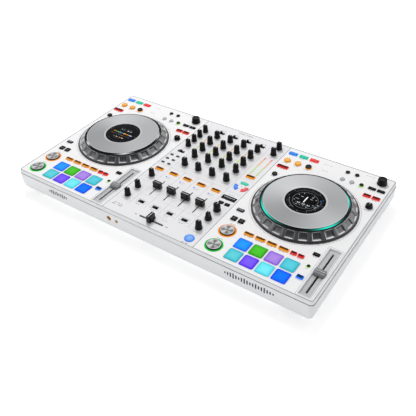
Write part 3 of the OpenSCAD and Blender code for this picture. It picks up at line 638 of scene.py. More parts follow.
# -------------------------------------------------------------------- faders
def cap(name, x, y, turned, mats, prof, half, line_mat, blade):
    """prof is the cap's side outline in (depth, height); the cap runs along its width"""
    P = Piece()
    cy_ = sum(p[0] for p in prof) / len(prof)
    cz_ = sum(p[1] for p in prof) / len(prof)

    def put(u, v, z):
        return (x - v, y + u, z) if turned else (x + u, y + v, z)

    rings = []
    for u, k in ((-half, 0.9), (-half + 0.35, 0.965), (-half + 1.0, 1.0), (half - 1.0, 1.0), (half - 0.35, 0.965), (half, 0.9)):
        rings.append([put(u, cy_ + (p[0] - cy_) * k, cz_ + (p[1] - cz_) * k) for p in prof])
    P.rings(rings, mats)
    # bright index line across the top
    top = sorted([p for p in prof], key=lambda p: -p[1])
    zc = blade[2]
    w = blade[3]
    for (v0, v1) in ((-w, w),):
        q = [(-half + 0.9, v0), (half - 0.9, v0), (half - 0.9, v1), (-half + 0.9, v1)]
        P.rings([[put(u, v, zc - 0.3) for u, v in q], [put(u, v, zc + 0.07) for u, v in q]], line_mat)
    # blade down to the slide control
    z0, z1 = blade[0], blade[1]
    q = [(-0.6, -3), (0.6, -3), (0.6, 3), (-0.6, 3)]
    P.rings([[put(u, v, z0) for u, v in q], [put(u, v, z1) for u, v in q]], M_side)
    return P.done(name + "_moulded", name, [name])


def fader_profile():
    z = PZ + 15
    right = [(4.6, PZ + 1), (5, PZ + 1.4), (5, PZ + 2.2), (4.6, PZ + 3.2), (4.0, PZ + 5), (3.75, PZ + 7), (3.7, PZ + 9), (3.78, PZ + 11), (3.95, PZ + 13), (4.0, z - 0.5), (3.6, z - 0.06)]
    dish = []
    for k in range(1, 8):
        v = 3.6 - 7.2 * k / 8
        dish.append((v, z + 10.4 - math.sqrt(max(0, 11 * 11 - v * v)) - 0.0))
    left = [(-a, b) for a, b in right[::-1]]
    return right + [(v, min(zz, z - 0.02)) for v, zz in dish] + left


FP = fader_profile()
for i in range(4):
    cap("ch%d_fader" % (i + 1), CH[i], -84, False, M_cap, FP, 9.5, M_white, (44.0, PZ + 2, PZ + 14.42, 0.45))
cap("crossfader", 0, -173, True, M_cap, FP, 9.5, M_white, (44.0, PZ + 2, PZ + 14.42, 0.45))
z0 = PZ - 2.0
TP = [(6.4, z0), (6.8, z0 + 0.4), (6.8, PZ + 1.6), (6.5, PZ + 3.6), (6.1, PZ + 4.8), (5.6, PZ + 5.0), (4.0, PZ + 4.75), (2.4, PZ + 4.45), (1.7, PZ + 4.4), (1.2, PZ + 4.9), (0.7, PZ + 5.6), (0.3, PZ + 5.75)]
TP = TP + [(-a, b) for a, b in TP[::-1]]
for s, dx in (("left", 0), ("right", DX)):
    cap(s + "_tempo_slider", -132.4 + dx, -126.2, False, M_grey, TP, 10.2, M_white, (44.0, PZ - 1, PZ + 5.7, 0.3))


# ------------------------------------------------------------- jog wheels
def jog(side, dx):
    cx, cyy = JOG[0] + dx, JOG[1]
    body = side + "_jog"
    P = Piece()
    base = [(12, -2.4), (16, -2.4), (16, 3), (99, 3), (100, 0.6), (105, 0.6), (105.5, 1.1), (105.5, 1.8), (105.1, 2.3), (104.2, 2.55), (103.5, 2.6), (102.9, 3.2)]
    trows = [0, 0.05, 0.09, 0.20, 0.42, 0.62, 0.78, 0.85, 0.91, 1.0]
    offs = [-7.5, -5.9, -5.3, -4.7, -4.0, -2.0, 0, 2.0, 4.0, 4.7, 5.3, 5.9]
    angs = [radians(-5 + 15 * k + o) for k in range(24) for o in offs]
    reps = [abs(o) for k in range(24) for o in offs]
    rings, mats = [], []

    def ring(r, z):
        return [(cx + r * cos(a), cyy + r * sin(a), PZ + z) for a in angs]

    for k, (r, z) in enumerate(base):
        rings.append(ring(r, z))
        mats.append(M_gap if k < 4 else M_blackgloss)
    for k, t in enumerate(trows):
        r = 102.4 + (89.2 - 102.4) * t
        z = 3.4 + (16.0 - 3.4) * t
        dt = 0.0
        if 0.20 <= t <= 0.78:
            dt = 1.0
        elif 0.80 < t < 0.87:
            dt = 0.75
        elif 0.07 < t < 0.92:
            dt = 0.1
        line = []
        for a, o in zip(angs, reps):
            do = 1.0 if o <= 4.1 else (0.7 if o <= 4.8 else (0.08 if o <= 5.4 else 0.0))
            dep = 1.7 * min(dt, do)
            rr, zz = r - dep * 0.69, z - dep * 0.72
            line.append((cx + rr * cos(a), cyy + rr * sin(a), PZ + zz))
        rings.append(line)

        # in each recess the outer lip and one side wall get the painted highlight, the inner edge and the other side
        # wall the painted shadow
        def pick(j, k=k):
            q = j % 12
            if 3 <= q <= 7:
                return (M_skirt, M_skirt, M_lip_painted_highlight, M_recess, M_recess, M_recess, M_shade, M_shade, M_skirt, M_gap)[k]
            if q in (2, 8) and 2 <= k <= 7:
                return M_lip_painted_highlight if q == 2 and k < 7 else M_shade
            return M_skirt if k < 9 else M_gap
        mats.append(pick)
    inner = [(88.9, 16.5), (88.4, 16.8), (87, 16.8), (86.6, 16.6), (86.4, 16), (86.4, 7), (64, 7), (64, 16.6), (60, 16.6), (60, 7), (16, 7), (16, 9.4), (12, 9.4)]
    for k, (r, z) in enumerate(inner):
        rings.append(ring(r, z))
        mats.append(M_gap)
    P.rings(rings, mats, loop=True)
    P.done(side + "_jog_skirt", body, [side + "_jog_wheel"], 40)
    # light guide in the gap: on the right it glows teal in patches at set angles; on the left its white patches are
    # painted glints standing in for reflections in the polished plate edge
    P = Piece()
    n = 180
    lobes = [(230, 20, 1.0), (327, 15, 1.0), (34, 12, 0.85), (71, 11, 0.4), (156, 26, 0.3)]
    dark, teal = (0.003, 0.004, 0.004), hexc("22ead0")
    cols = []
    for j in range(n):
        a = 360 * j / n
        s = 0
        for c, w, g in lobes if side == "right" else ((313, 9, 0.85), (240, 6, 0.8), (24, 8, 0.7)):
            d = (a - c + 180) % 360 - 180
            s = max(s, g * math.exp(-(d / w) ** 2))
        cols.append(mixc(dark, teal if side == "right" else hexc("dfe2e6"), s))
    prof = [(83.7, 12.8), (86.2, 12.8), (86.2, 15.6), (85.6, 16.2), (84.3, 16.3), (83.95, 16.6), (83.8, 17.7), (83.5, 17.8), (83.5, 15.6)]
    P.lathe(cx, cyy, [(r, PZ + z) for r, z in prof], M_led, n, loop=True, cols=[list(cols) for _ in prof])
    P.done(side + "_jog_guide_glow_and_painted_glints", body, ())
    # top plate
    P = Piece()
    z1 = 19
    # painted highlights and painted shade on the top plate: lighter and darker base colour in fans at set angles round
    # the centre
    painted_fans = ((138, 2.2, 0.9), (318, 5, 0.35), (216, 2.0, -0.55), (285, 3.0, -0.3)) if side == "left" else ((150, 1.8, 0.8), (20, 3, -0.35), (335, 6, 0.2), (255, 2.0, -0.55))
    metal = spun(side + "_plate_metal_painted_highlights", "cfd0d2", 0.30, (cx, cyy), 1400, 0.8, 0.04, painted_fans)
    rim = M_chrome
    prof = [(40.2, z1 - 3.4), (41.4, z1 - 3.4), (41.4, z1 - 2.4), (82.5, z1 - 2.4), (83.1, z1 - 2.1), (83.3, z1 - 1.6), (83.3, z1 - 0.85), (83.15, z1 - 0.5), (82.7, z1 - 0.15),
            (81.8, z1), (43.9, z1), (43.4, z1 - 0.06), (42.9, z1 - 0.3), (42.2, z1 - 0.5), (41.2, z1 - 0.55), (40.5, z1 - 0.62), (40.2, z1 - 0.8)]
    # left plate edge: black metal with painted glints at set angles; right plate edge: plain black, standing in for the
    # dark reflections of a polished edge
    edge = spun(side + "_plate_edge_painted_glints", "0b0b0c", 0.22, (cx, cyy), 1400, 0.3, 0.02, ((313, 46, 1.0), (240, 90, 1.0), (22, 60, 1.0), (120, 60, 0.8)), "060607", "f2f3f5") if side == "left" else M_gap
    pm = [metal] * 3 + [edge] * 4 + [rim] * 2 + [metal] + [rim] * 6 + [metal]
    P.lathe(cx, cyy, [(r, PZ + z) for r, z in prof], pm, 180, loop=True)
    P.done(side + "_jog_top_plate", body, [side + "_jog_plate"])


jog("left", 0)
jog("right", DX)


# ---------------------------------------------------------------- displays
def display(side, dx):
    cx, cyy = JOG[0] + dx, JOG[1]
    P = Piece()
    R = 39.8
    zt = PZ + 18.2
    P.lathe(cx, cyy, [(0, PZ + 14), (R - 1, PZ + 14), (R, PZ + 15), (R, zt - 0.6), (R - 0.2, zt - 0.25), (R - 0.7, zt - 0.04), (R - 1.4, zt), (0, zt)], M_glass, 120)
    a0, a1 = zt - 0.05, zt + 0.04
    rnd = random.Random(7)

    def px(x0, y0, x1, y1, w, c):
        P.bar(cx + x0, cyy + y0, cx + x1, cyy + y1, w, M_screen, a0, a1, hexc(c))

    # rim scale
    for k in range(48 if side == "right" else 24):
        a = 2 * pi * k / (48 if side == "right" else 24)
        long_ = k % 4 == 0
        px(33.5 * cos(a), 33.5 * sin(a), (36.6 if long_ else 35.4) * cos(a), (36.6 if long_ else 35.4) * sin(a), 0.5, "8a8f94" if long_ else "4c5054")
    if side == "left":
        hues = ["ff9a3c", "54e07a", "f4f6f8", "3aa0ff", "ffd23c", "ff9a3c", "f4f6f8"]
        for row, (yy, amp, hw) in enumerate(((-1.0, 4.4, 27), (-9.5, 2.2, 26))):
            nbar = 30
            for k in range(nbar):
                xx = -hw + 2 * hw * k / (nbar - 1)
                hgt = amp * (0.25 + 0.75 * rnd.random())
                px(xx, yy - hgt / 2, xx, yy + hgt / 2, 1.0, hues[(k // 4 + row * 2) % 7] if row == 0 else ("b0762e", "6e4a22", "3a6aa0")[k // 5 % 3])
        for k, (xx, ww) in enumerate(((-14, 4), (-7, 3), (3, 6), (12, 4))):
            px(xx, 12, xx + ww, 12, 2.0, "8a8f94" if k < 2 else "c0c4c8")
            px(xx - 1, 17, xx + ww * 0.6, 17, 1.2, "50555a")
            px(xx, 7.5, xx + ww * 0.5, 7.5, 1.0, "50555a")
        for xx, c in ((-14, "70757a"), (-6, "d8dce0"), (3, "ff9a3c"), (10, "d8dce0")):
            px(xx, -18.5, xx + 5, -18.5, 1.5, c)
        px(-10, -23.5, 10, -23.5, 0.6, "50555a")
        px(22, -2, 26, -2, 2.4, "3a8cff")
    else:
        px(-0.6, -7, -0.2, 12, 2.0, "ffffff")
        for a0_, a1_, r_, w_, c_ in ((-60, 20, 31.2, 1.3, "54595e"), (60, 150, 31.2, 1.3, "3c4044"), (190, 250, 31.2, 1.3, "62676c"), (-28, -16, 28.4, 2.0, "8e9398"), (-8, -2, 28.4, 2.0, "a6abb0")):
            for q_ in range(12):
                u_, v_ = radians(a0_ + (a1_ - a0_) * q_ / 12), radians(a0_ + (a1_ - a0_) * (q_ + 1) / 12)
                px(r_ * cos(u_), r_ * sin(u_), r_ * cos(v_), r_ * sin(v_), w_, c_)
        for k in range(60):
            a, b = 2 * pi * k / 60, 2 * pi * (k + 1) / 60
            px(25 * cos(a), 25 * sin(a), 25 * cos(b), 25 * sin(b), 0.6, "74797e")
        for k in range(9):
            xx = -14 + 3.5 * k
            hgt = 2.6 + 2.2 * rnd.random()
            px(xx, -12 - hgt / 2, xx, -12 + hgt / 2, 1.9, "c4c8cc" if k % 3 else "4c5054")
            px(xx, -17.5 - hgt / 4, xx, -17.5 + hgt / 4, 1.6, "989ca0" if k % 2 else "50555a")
        for a in (30, 60, 120, 150, 200, 240, 300, 340):
            r = radians(a)
            px(20 * cos(r), 20 * sin(r), 22.5 * cos(r), 22.5 * sin(r), 1.3, "b0b5ba")
        px(-13, 8, -7, 8, 1.2, "b0b5ba")
        px(7, 8, 12, 8, 1.2, "b0b5ba")
        px(26, 13, 28, 13, 1.9, "1e9cff")
        px(8, 14, 11, 14, 2.2, "9a9fa4")
        px(-20, -2, -12, -2, 1.3, "8a8f94")
    P.done(side + "_jog_display", "chassis", ["displays"] if side == "left" else ())


display("left", 0)
display("right", DX)

P = Piece()
P.stack(o_rr(91.5, -35.5, 32.6, 13, 1.0), [(0.2, PU - 1), (0, PU - 0.6), (0, PZ + 0.1), (0.15, PZ + 0.3), (0.5, PZ + 0.38)], M_glass)
rnd = random.Random(3)
for k in range(8):
    ww = 1.5 + 1.6 * rnd.random()
    P.bar(79.5 + 3.1 * k, -33.6, 79.5 + 3.1 * k + ww, -33.6, 1.7, M_screen, PZ + 0.3, PZ + 0.42, hexc("c9ced2"))
for k in range(5):
    P.bar(80 + 5 * k, -38.4, 82.6 + 5 * k, -38.4, 0.9, M_screen, PZ + 0.3, PZ + 0.42, hexc("5e6368"))
P.frame_strip(o_rr(91.5, -35.5, 32.6, 13, 1.0), 1.0, 1.25, PZ + 0.3, PZ + 0.41, M_screen, [hexc("2a2d30")] * 4)
P.done("fx_display_window", "chassis", ())


# level meters, indicator dots
P = Piece()


def seg_strip(x, y0, y1, n, w, col_of):
    P.stack(o_rr(x, (y0 + y1) / 2, w + 0.9, y1 - y0 + 0.6, 0.4), [(0, PU), (0, PZ + 0.02), (0.15, PZ + 0.08)], M_printl)
    st = (y1 - y0) / n
    for k in range(n):
        c = col_of(k / (n - 1))
        if c is None:
            continue
        col = hexc(c)
        P.stack(o_rr(x, y0 + st * (k + 0.5), w, st - 0.7, 0.3, 2), [(0, PZ), (0, PZ + 0.14), (0.2, PZ + 0.24)], M_led, [mixc(col, (0, 0, 0), 0.2), col, mixc(col, (1, 1, 1), 0.15)])


for x in (83.7, 99.6):
    seg_strip(x, 59.6, 127.4, 15, 2.3, lambda t: "b4e000" if t < 0.5 else ("ffa800" if t < 0.9 else "f02010"))
for x in CH:
    seg_strip(x - 15.4, 58.6, 123.4, 12, 2.2, lambda t: "b4e000" if t < 0.5 else ("ffa800" if t < 0.95 else "c9cbce"))
for x in CH:
    P.stack(o_circle(x - 7.3, -44, 1.25, 20), [(0, PU), (0, PZ - 0.2)], M_pad, [hexc("0070ff")] * 2)
    P.stack(o_circle(x - 7.3, -44, 1.7, 24), [(0, PZ - 0.02), (0, PZ + 0.15), (0.4, PZ + 0.36), (0.9, PZ + 0.42)], M_pad, [hexc("0070ff")] * 4)
for x, y, c in ((-SIDE - 1, 61, "ff2a20"), (SIDE, 131, "ff3a30")):
    P.stack(o_circle(x, y, 1.4, 20), [(0, PU), (0, PZ + 0.2), (0.4, PZ + 0.36)], M_led, [hexc(c)] * 3)
P.done("level_meters", "chassis", ())

# light rings round the transport keys
P = Piece()
TR = ((-326.8, -119), (-326.8, -165))
for dx in (0, DX):
    for k, (x, y) in enumerate(TR):
        col = hexc("f7921c") if k == 0 else hexc("1fc035")
        deep = mixc(col, (0, 0, 0), 0.35)
        prof = [(15.1, 47), (17.9, 47), (17.9, PZ + 0.2), (17.7, PZ + 0.55), (17.3, PZ + 0.85), (16.4, PZ + 0.9), (15.6, PZ + 0.8), (15.1, PZ + 0.5)]
        P.lathe(x + dx, y, prof, M_lit, 72, loop=True, cols=[deep, deep, col, col, col, col, col, deep])
P.done("transport_light_rings", "chassis", ())


# ------------------------------------------------------------------- pads
P = Piece()
top_cols = [("22a0ff", "0064ff"), ("4fce2e", "1f9c08"), ("b490ec", "8a58e0"), ("5cd4e4", "1cb4c8")]
bot_cols = [("64d8e4", "1eb4c6"), ("8160ff", "5020f4"), ("7cf4ff", "34d4ec"), ("0a7cff", "004cff")]
for dx in (0, DX):
    for i in range(4):
        for j in range(2):
            x, y = -281.8 + dx + 32.2 * i, -136.4 - 32.2 * j
            inner, edge = [hexc(c) for c in (top_cols if j == 0 else bot_cols)[i]]
            lv = [(0.0, PU - 1.8), (0.0, PZ + 0.5), (0.25, PZ + 0.9), (0.7, PZ + 1.15), (1.5, PZ + 1.24), (3.2, PZ + 1.27), (6, PZ + 1.28), (9.5, PZ + 1.29), (12.8, PZ + 1.3)]
            tt = [0.0, 0.0, 0.0, 0.05, 0.2, 0.55, 0.82, 0.95, 1.0]
            cl = [mixc(edge, inner, t) for t in tt]
            cl = [mixc(c, (0, 0, 0), 0.30) if k < 2 else c for k, c in enumerate(cl)]
            P.stack(o_rr(x, y, 28.3, 28.3, 3.4, 7), lv, M_pad, cl)
P.done("performance_pads_silicone", "performance_pads", ["performance_pads"])
P = Piece()
for dx in (0, DX):
    for i in range(4):
        for j in range(2):
            x, y = -281.8 + dx + 32.2 * i, -136.4 - 32.2 * j
            outer, inner = rr_pts(31.0, 31.0, 4.6, 7), rr_pts(28.7, 28.7, 3.5, 7)
            rg = [[(x + a, y + b, z) for a, b in pts] for pts, z in ((inner, PZ - 0.6), (outer, PZ - 0.03), (outer, PZ + 0.1), (inner, PZ + 0.35))]
            P.rings(rg, M_case, loop=True)
P.done("pad_bezels", "chassis", ())

# -------------------------------------------------------------- deck keys
DK = [(-340.2, 172, 20, 9.6, 2, "full", "1e86f0"), (-314.7, 172, 20, 9.6, 2, "full", "22c9a6"), (-289.3, 172, 20, 9.6, 2, "full", "ee3a34"),
      (-337.3, 117, 26, 9.6, 2.2, "half", "e8302a"),
      (-146.8, 144.4, 16, 8, 1.8, "black", ""), (-127.8, 144.4, 16, 8, 1.8, "black", ""),
      (-146.8, 117.4, 16, 9.6, 2.2, "half", "ee3a34"), (-127.8, 117.4, 16, 9.6, 2.2, "half", "ee3a34"),
      (-337.3, -55, 15.6, 8, 1.8, "grey", ""),
      (-334.8, -82.5, 12, 12, 1.8, "square", ""), (-318.4, -82.5, 12, 12, 1.8, "square", ""),
      (-286.6, -106.8, 20, 8, 2.4, "half", "f59a1e"), (-262.2, -106.8, 20, 8, 2.4, "half", "f59a1e"),
      (-237.8, -106.8, 20, 8, 2.4, "half", "f59a1e"), (-213.4, -106.8, 20, 8, 2.4, "half", "f59a1e"),
      (-193.2, -106.8, 12, 8, 2.4, "half", "ee3a34"), (-178.8, -106.8, 12, 8, 2.4, "half", "ee3a34"),
      (-157.2, -88, 13, 8, 1.8, "black", ""), (-157.2, -152.4, 13, 9, 2, "half", "2a80ff")]
DR = [(-339.6, 143, 7.2, 3.4, "lit", "f7a428"), (-314.2, 143, 7.2, 3.4, "lit", "f7a428"), (-289, 143, 7.2, 4.4, "base", "f59a1e"),
      (-339.2, 85.4, 6, 3, "blackring", ""),
      (-210.8, 171, 4.6, 2.4, "black", ""), (-190, 171, 4.6, 2.4, "black", ""),
      (-210.8, 143.2, 5, 2.2, "pale", ""), (-190, 143.2, 5, 2.2, "pale", ""), (-169, 143, 5, 3.4, "base", "8fd62a"),
      (-156.4, -121.2, 3.8, 1.8, "base", "8fd62a")]


def rect_key(P, x, y, w, d, h, kind, hexcol):
    z = PZ + h
    f = o_rr(x, y, w, d, 1.2)
    lv = [(0, PU - 1.8), (0, z - 0.7), (0.12, z - 0.35), (0.35, z - 0.1), (0.75, z)]
    if kind in ("full", "half"):
        col = hexc(hexcol)
        deep = mixc(col, (0, 0, 0), 0.25)
        P.stack(f, lv, M_lit, [deep, col, col, col, col])
        if kind == "half":
            off = 0.55
            fw, fd = w - 2.6, d - 3.3
            g = o_rr(x, y + off, fw, fd, 0.6)
            P.stack(g, [(0, z - 0.2), (0, z + 0.12), (0.15, z + 0.2)], M_smoke)
            n = 3 if w > 14 else 2
            for k in range(n):
                ww = fw / (n + 2.2)
                xx = x - fw / 2 + (k + 0.75) * fw / (n + 0.5)
                P.bar(xx - ww / 2, y + off - 0.1, xx + ww / 2, y + off - 0.1, 0.8, M_lit, z + 0.12, z + 0.25, mixc(col, (0, 0, 0), 0.5))
        else:
            for k in range(3):
                xx = x - w * 0.22 + k * w * 0.22
                P.bar(xx - w * 0.07, y, xx + w * 0.07, y, 0.9, M_lit, z - 0.1, z + 0.05, mixc(col, (1, 1, 1), 0.35))
    elif kind == "grey":
        P.stack(f, lv, M_cap)
        P.stack(o_rr(x, y + 0.4, w - 2.6, d - 3.2, 0.6), [(0, z - 0.2), (0, z + 0.1), (0.15, z + 0.18)], M_keygrey)
    elif kind == "square":
        P.stack(f, lv, M_cap)
        P.frame_strip(o_circle(x, y, 2.6, 24), 0, 0.5, z - 0.1, z + 0.06, M_print)
        P.bar(x - 1.1, y, x + 1.1, y, 0.5, M_print, z - 0.1, z + 0.06)
    elif kind == "small":
        P.stack(f, lv, M_keygrey)
        P.stack(o_rr(x, y, w - 2, d - 2, 0.4), [(0, z - 0.2), (0.1, z + 0.08)], M_cap)
    else:
        P.stack(f, lv, M_cap)
        P.stack(o_rr(x, y, w - 2.2, d - 2.2, 0.6), [(0, z - 0.2), (0, z + 0.04), (0.15, z + 0.1)], M_smoke)
        P.bar(x - w * 0.2, y, x + w * 0.2, y, 0.6, M_print, z, z + 0.14)


def round_key(P, x, y, r, h, kind, hexcol):
    z = PZ + h
    side = [(0, PU - 1.8), (r, PU - 1.8), (r, z - 0.9), (r - 0.12, z - 0.45), (r - 0.45, z - 0.12), (r - 0.9, z), (r * 0.45, z + 0.0), (0, z - 0.02)]
    if kind == "lit":
        col = hexc(hexcol)
        deep = mixc(col, (0, 0, 0), 0.3)
        hot = mixc(col, (1, 0.9, 0.5), 0.35)
        P.lathe(x, y, side, M_lit, 48, cols=[deep, deep, deep, col, col, col, hot, hot])
        P.bar(x - 1.7, y, x + 1.7, y, 0.6, M_lit, z - 0.1, z + 0.05, deep)
    elif kind == "base":
        col = hexc(hexcol)
        zz = PZ + min(1.3, h * 0.4)
        P.lathe(x, y, [(0, PU - 1.8), (r, PU - 1.8), (r, zz), (r - 0.35, zz + 0.2), (0, zz + 0.2)], M_lit, 48, cols=[col] * 5)
        q = r - 0.55
        P.lathe(x, y, [(0, zz), (q, zz), (q, z - 0.6), (q - 0.15, z - 0.25), (q - 0.6, z), (q - 1.3, z - 0.05), (q - 1.7, z - 0.25), (0, z - 0.3)], M_cap, 48)
    elif kind == "pale":
        P.lathe(x, y, side, M_keypale, 48)
        P.frame_strip(o_circle(x, y, r - 0.7, 32), 0, 0.45, z - 0.2, z + 0.07, M_printd)
        P.bar(x - 1.6, y + 0.9, x + 1.6, y + 0.9, 0.8, M_printd, z - 0.1, z + 0.07)
        P.bar(x - 1.6, y - 0.9, x + 1.0, y - 0.9, 0.8, M_printd, z - 0.1, z + 0.07)
    else:
        P.lathe(x, y, side, M_cap, 48)
        if kind == "blackring":
            P.frame_strip(o_circle(x, y, r - 1.3, 32), 0, 0.4, z - 0.2, z + 0.06, M_print)
            P.bar(x - 1.4, y, x + 1.4, y, 0.6, M_print, z - 0.1, z + 0.06)
        else:
            P.frame_strip(o_circle(x, y, r - 1.0, 32), 0, 0.3, z - 0.2, z + 0.05, M_printd)


P = Piece()
for dx in (0, DX):
    for k in DK:
        rect_key(P, k[0] + dx, *k[1:])
    for k in DR:
        round_key(P, k[0] + dx, *k[1:])
P.done("deck_keys", "deck_buttons", ["deck_buttons"])

n = 0
for s, dx in (("left", 0), ("right", DX)):
    for k, (x, y) in enumerate(TR):
        P = Piece()
        # painted highlights and painted shade on the key cap: white and grey fans at set angles in the base colour
        metal = spun(s + "_cap_metal_%d" % k, "adadaf", 0.27, (x + dx, y), 2200, 0.88, 0.1, ((60, 9, 0.75), (245, 9, 0.85), (150, 12, 0.45), (330, 12, 0.4), (105, 14, -0.5), (290, 14, -0.6), (200, 14, -0.45), (12, 14, -0.45)), "58585a", "ffffff")
        r, z = 14.6, PZ + 3.2
        prof = [(0, PU - 3), (r - 0.3, PU - 3), (r, PU - 2.6), (r, PZ + 1.0), (r - 0.1, PZ + 1.8), (r - 0.5, z - 0.7), (r - 0.9, z - 0.25), (r - 1.6, z), (r - 2.4, z), (r - 2.8, z - 0.25), (4, z - 0.75), (0, z - 0.8)]
        pm = [M_side, M_side, M_side, M_side, M_side, M_side, M_chrome, M_chrome, M_chrome, metal, metal]
        P.lathe(x + dx, y, prof, pm, 96)
        zc = z - 0.78
        for q in (-2.2, 2.2):
            P.stack(o_rr(x + dx + q, y, 2.2, 1.7, 0.3, 3), [(0, zc - 0.1), (0.05, zc + 0.12)], M_slot)
        P.bar(x + dx - 0.8, y, x + dx + 0.8, y, 0.5, M_slot, zc - 0.1, zc + 0.12)
        P.done("%s_%s_key_cap" % (s, "cue" if k == 0 else "play"), "deck_buttons", ())

# ------------------------------------------------------------- mixer keys
P = Piece()
for x in (-102, -85.8):
    for y in (29, 12.5, -4):
        rect_key(P, x, y, 8, 5, 1.4, "small", "")
rect_key(P, -SIDE, -28.8, 19.6, 8.4, 2.6, "half", "f59a1e")
for x in CH:
    rect_key(P, x + 0.4, -28.8, 19.6, 8.4, 2.6, "half", "f59a1e")
rect_key(P, SIDE, 48.4, 20, 9, 2.4, "half", "f59a1e")
rect_key(P, 84.7, -55, 11, 8, 1.6, "black", "")
rect_key(P, 99.4, -55, 11, 8, 1.6, "black", "")
z = PZ + 1.6
col = hexc("6aa4f8")
P.lathe(93, -174.6, [(0, PU - 1.8), (9.8, PU - 1.8), (9.8, z - 0.6), (9.6, z - 0.2), (9.0, z), (7, z + 0.0), (3.5, z), (0, z)], M_lit, 64,
        cols=[col, mixc(col, (0, 0, 0), 0.3), hexc("4a80e8"), hexc("4a80e8"), hexc("5a90f4"), col, hexc("8cbcff"), hexc("98c4ff")])
for q in (-2.6, 0, 2.6):
    P.bar(93 + q - 0.9, -174.6, 93 + q + 0.9, -174.6, 0.7, M_lit, z - 0.1, z + 0.05, hexc("4a80e8"))
for a, c in ((90, "25cfae"), (210, "2a80f0"), (330, "ee4046")):
    col = hexc(c)
    z = PZ + 2
    f = o_arc(93, 10, 8.6, 16.2, a, 38)
    P.stack(f, [(0, PU - 1.8), (0, z - 0.6), (0.15, z - 0.25), (0.6, z)], M_lit, [mixc(col, (0, 0, 0), 0.3), col, col, mixc(col, (1, 1, 1), 0.08)])
    t = radians(a)
    for rr_ in (-2.4, 0, 2.4):
        ux, uy = -sin(t), cos(t)
        bx, by = 93 + 12.4 * cos(t) + ux * rr_, 10 + 12.4 * sin(t) + uy * rr_
        P.bar(bx - 0.6, by, bx + 0.6, by, 0.8, M_lit, z - 0.1, z + 0.05, mixc(col, (1, 1, 1), 0.45))
P.done("mixer_keys", "mixer_buttons", ["mixer_buttons"])

# ---------------------------------------------------------- slide switches
P = Piece()
SW = [(x + 0.3, -137.6, 2) for x in CH] + [(x - 1.2, 160, 6.4) for x in CH] + [(-SIDE, 49.8, 5)]
for x, y, h in SW:
    z = PZ + h
    P.stack(o_rr(x, y, 4.6, 3.8, 0.6), [(0, PU - 0.9), (0, z - 0.7), (0.15, z - 0.25), (0.5, z)], M_cap)
    P.stack(o_rr(x, y, 8.6, 5.4, 0.4), [(0, PU - 1.2), (0, PU - 0.4)], M_slot)
    for q in (-1.2, 0, 1.2):
        P.bar(x + q, y - 1.3, x + q, y + 1.3, 0.35, M_keygrey, z - 0.1, z + 0.08)
P.done("switch_levers", "slide_switches", ["slide_switches"])

# ----------------------------------------------------------- panel printing
P = Piece()
Q = Piece()   # darker ink
rnd = random.Random(11)


def dashes(x, y, w, m=None, h=1.0):
    n = 2 + rnd.randrange(2)
    m = m or M_print
    xx = x - w / 2
    for k in range(n):
        l = w / n * (0.55 + 0.3 * rnd.random())
        P.bar(xx, y, xx + l, y, h, m)
        xx += w / n


for dx in (0, DX):
    jx, jy = JOG[0] + dx, JOG[1]
    P.frame_strip(o_circle(jx, jy, 109.4, 160), 0, 0.45, PZ - 0.03, PZ + 0.05, M_print)
    # tempo tray frame and scale
    tx, ty = -132.4 + dx, -123
    P.frame_strip(o_rr(tx, ty, 30.6, 134.4, 3), 0, 0.4, PZ - 0.03, PZ + 0.05, M_print)
    P.frame_strip(o_rr(tx, ty, 24.4, 128.8, 2.2), 0, 0.5, PZ - 0.03, PZ + 0.05, M_print)
    for k in DK:
        if k[5] in ("full", "black", "grey", "square"):
            dashes(k[0] + dx, k[1] - k[3] / 2 - 2.4, k[2] * 0.7, M_print)
        else:
            dashes(k[0] + dx, k[1] - k[3] / 2 - 2.2, k[2] * 0.75, M_print)
    for k in DR:
        dashes(k[0] + dx, k[1] - k[2] - 2.6, k[2] * 1.6, M_print)
    for x, y in TR:
        dashes(x + dx, y + 20.4, 12, M_print)
    dashes(-256 + dx, 173, 22, M_printl)
    dashes(-252 + dx, 150, 18, M_printl)
    dashes(-163 + dx, 182.5, 22, M_printl)
    dashes(-129.8 + dx, 74.5, 12, M_print)
    # feel scale
    for k in range(9):
        a = radians(230 - 35 * k)
        P.bar(-129.8 + dx + 9.3 * cos(a), 86 + 9.3 * sin(a), -129.8 + dx + 10.4 * cos(a), 86 + 10.4 * sin(a), 0.35, M_print)
for sx in (-112, 112):
    P.bar(sx, -191.6, sx, 191.6, 0.85, M_printd)
P.frame_strip(o_rr(0, 0, 710.3, 384.5, 5.9), 0, 0.5, PZ - 0.03, PZ + 0.05, M_print)
for x in CH:
    P.frame_strip(o_rr(x - 1.2, 160, 17.6, 7.4, 1.0), 0, 1.3, PZ - 0.03, PZ + 0.3, M_cap)
    P.frame_strip(o_rr(x + 0.3, -137.6, 14.0, 7.8, 0.6), 0, 0.8, PZ - 0.03, PZ + 0.25, M_cap)
P.frame_strip(o_rr(-SIDE, 49.8, 17.6, 7.0, 1.0), 0, 1.4, PZ - 0.03, PZ + 0.3, M_cap)
# mixer: channel dividers
for x, y0, y1 in ((-71.8, -150, 176), (-35.8, -150, -12), (0.2, -150, -12), (36.2, -150, -12), (72.2, -150, 176)):
    P.bar(x, y0, x, y1, 0.35, M_print)
P.bar(-108, -12, 72.2, -12, 0.35, M_printl)
P.bar(-71.8, 30.5, 72.2, 30.5, 0.3, M_printl)
P.bar(-71.8, -116, 72.2, -116, 0.3, M_printl)
P.bar(74, 36, 109, 36, 0.3, M_printl)
P.bar(74, -16, 109, -16, 0.3, M_printl)
P.bar(-109, -78, -74, -78, 0.3, M_printl)
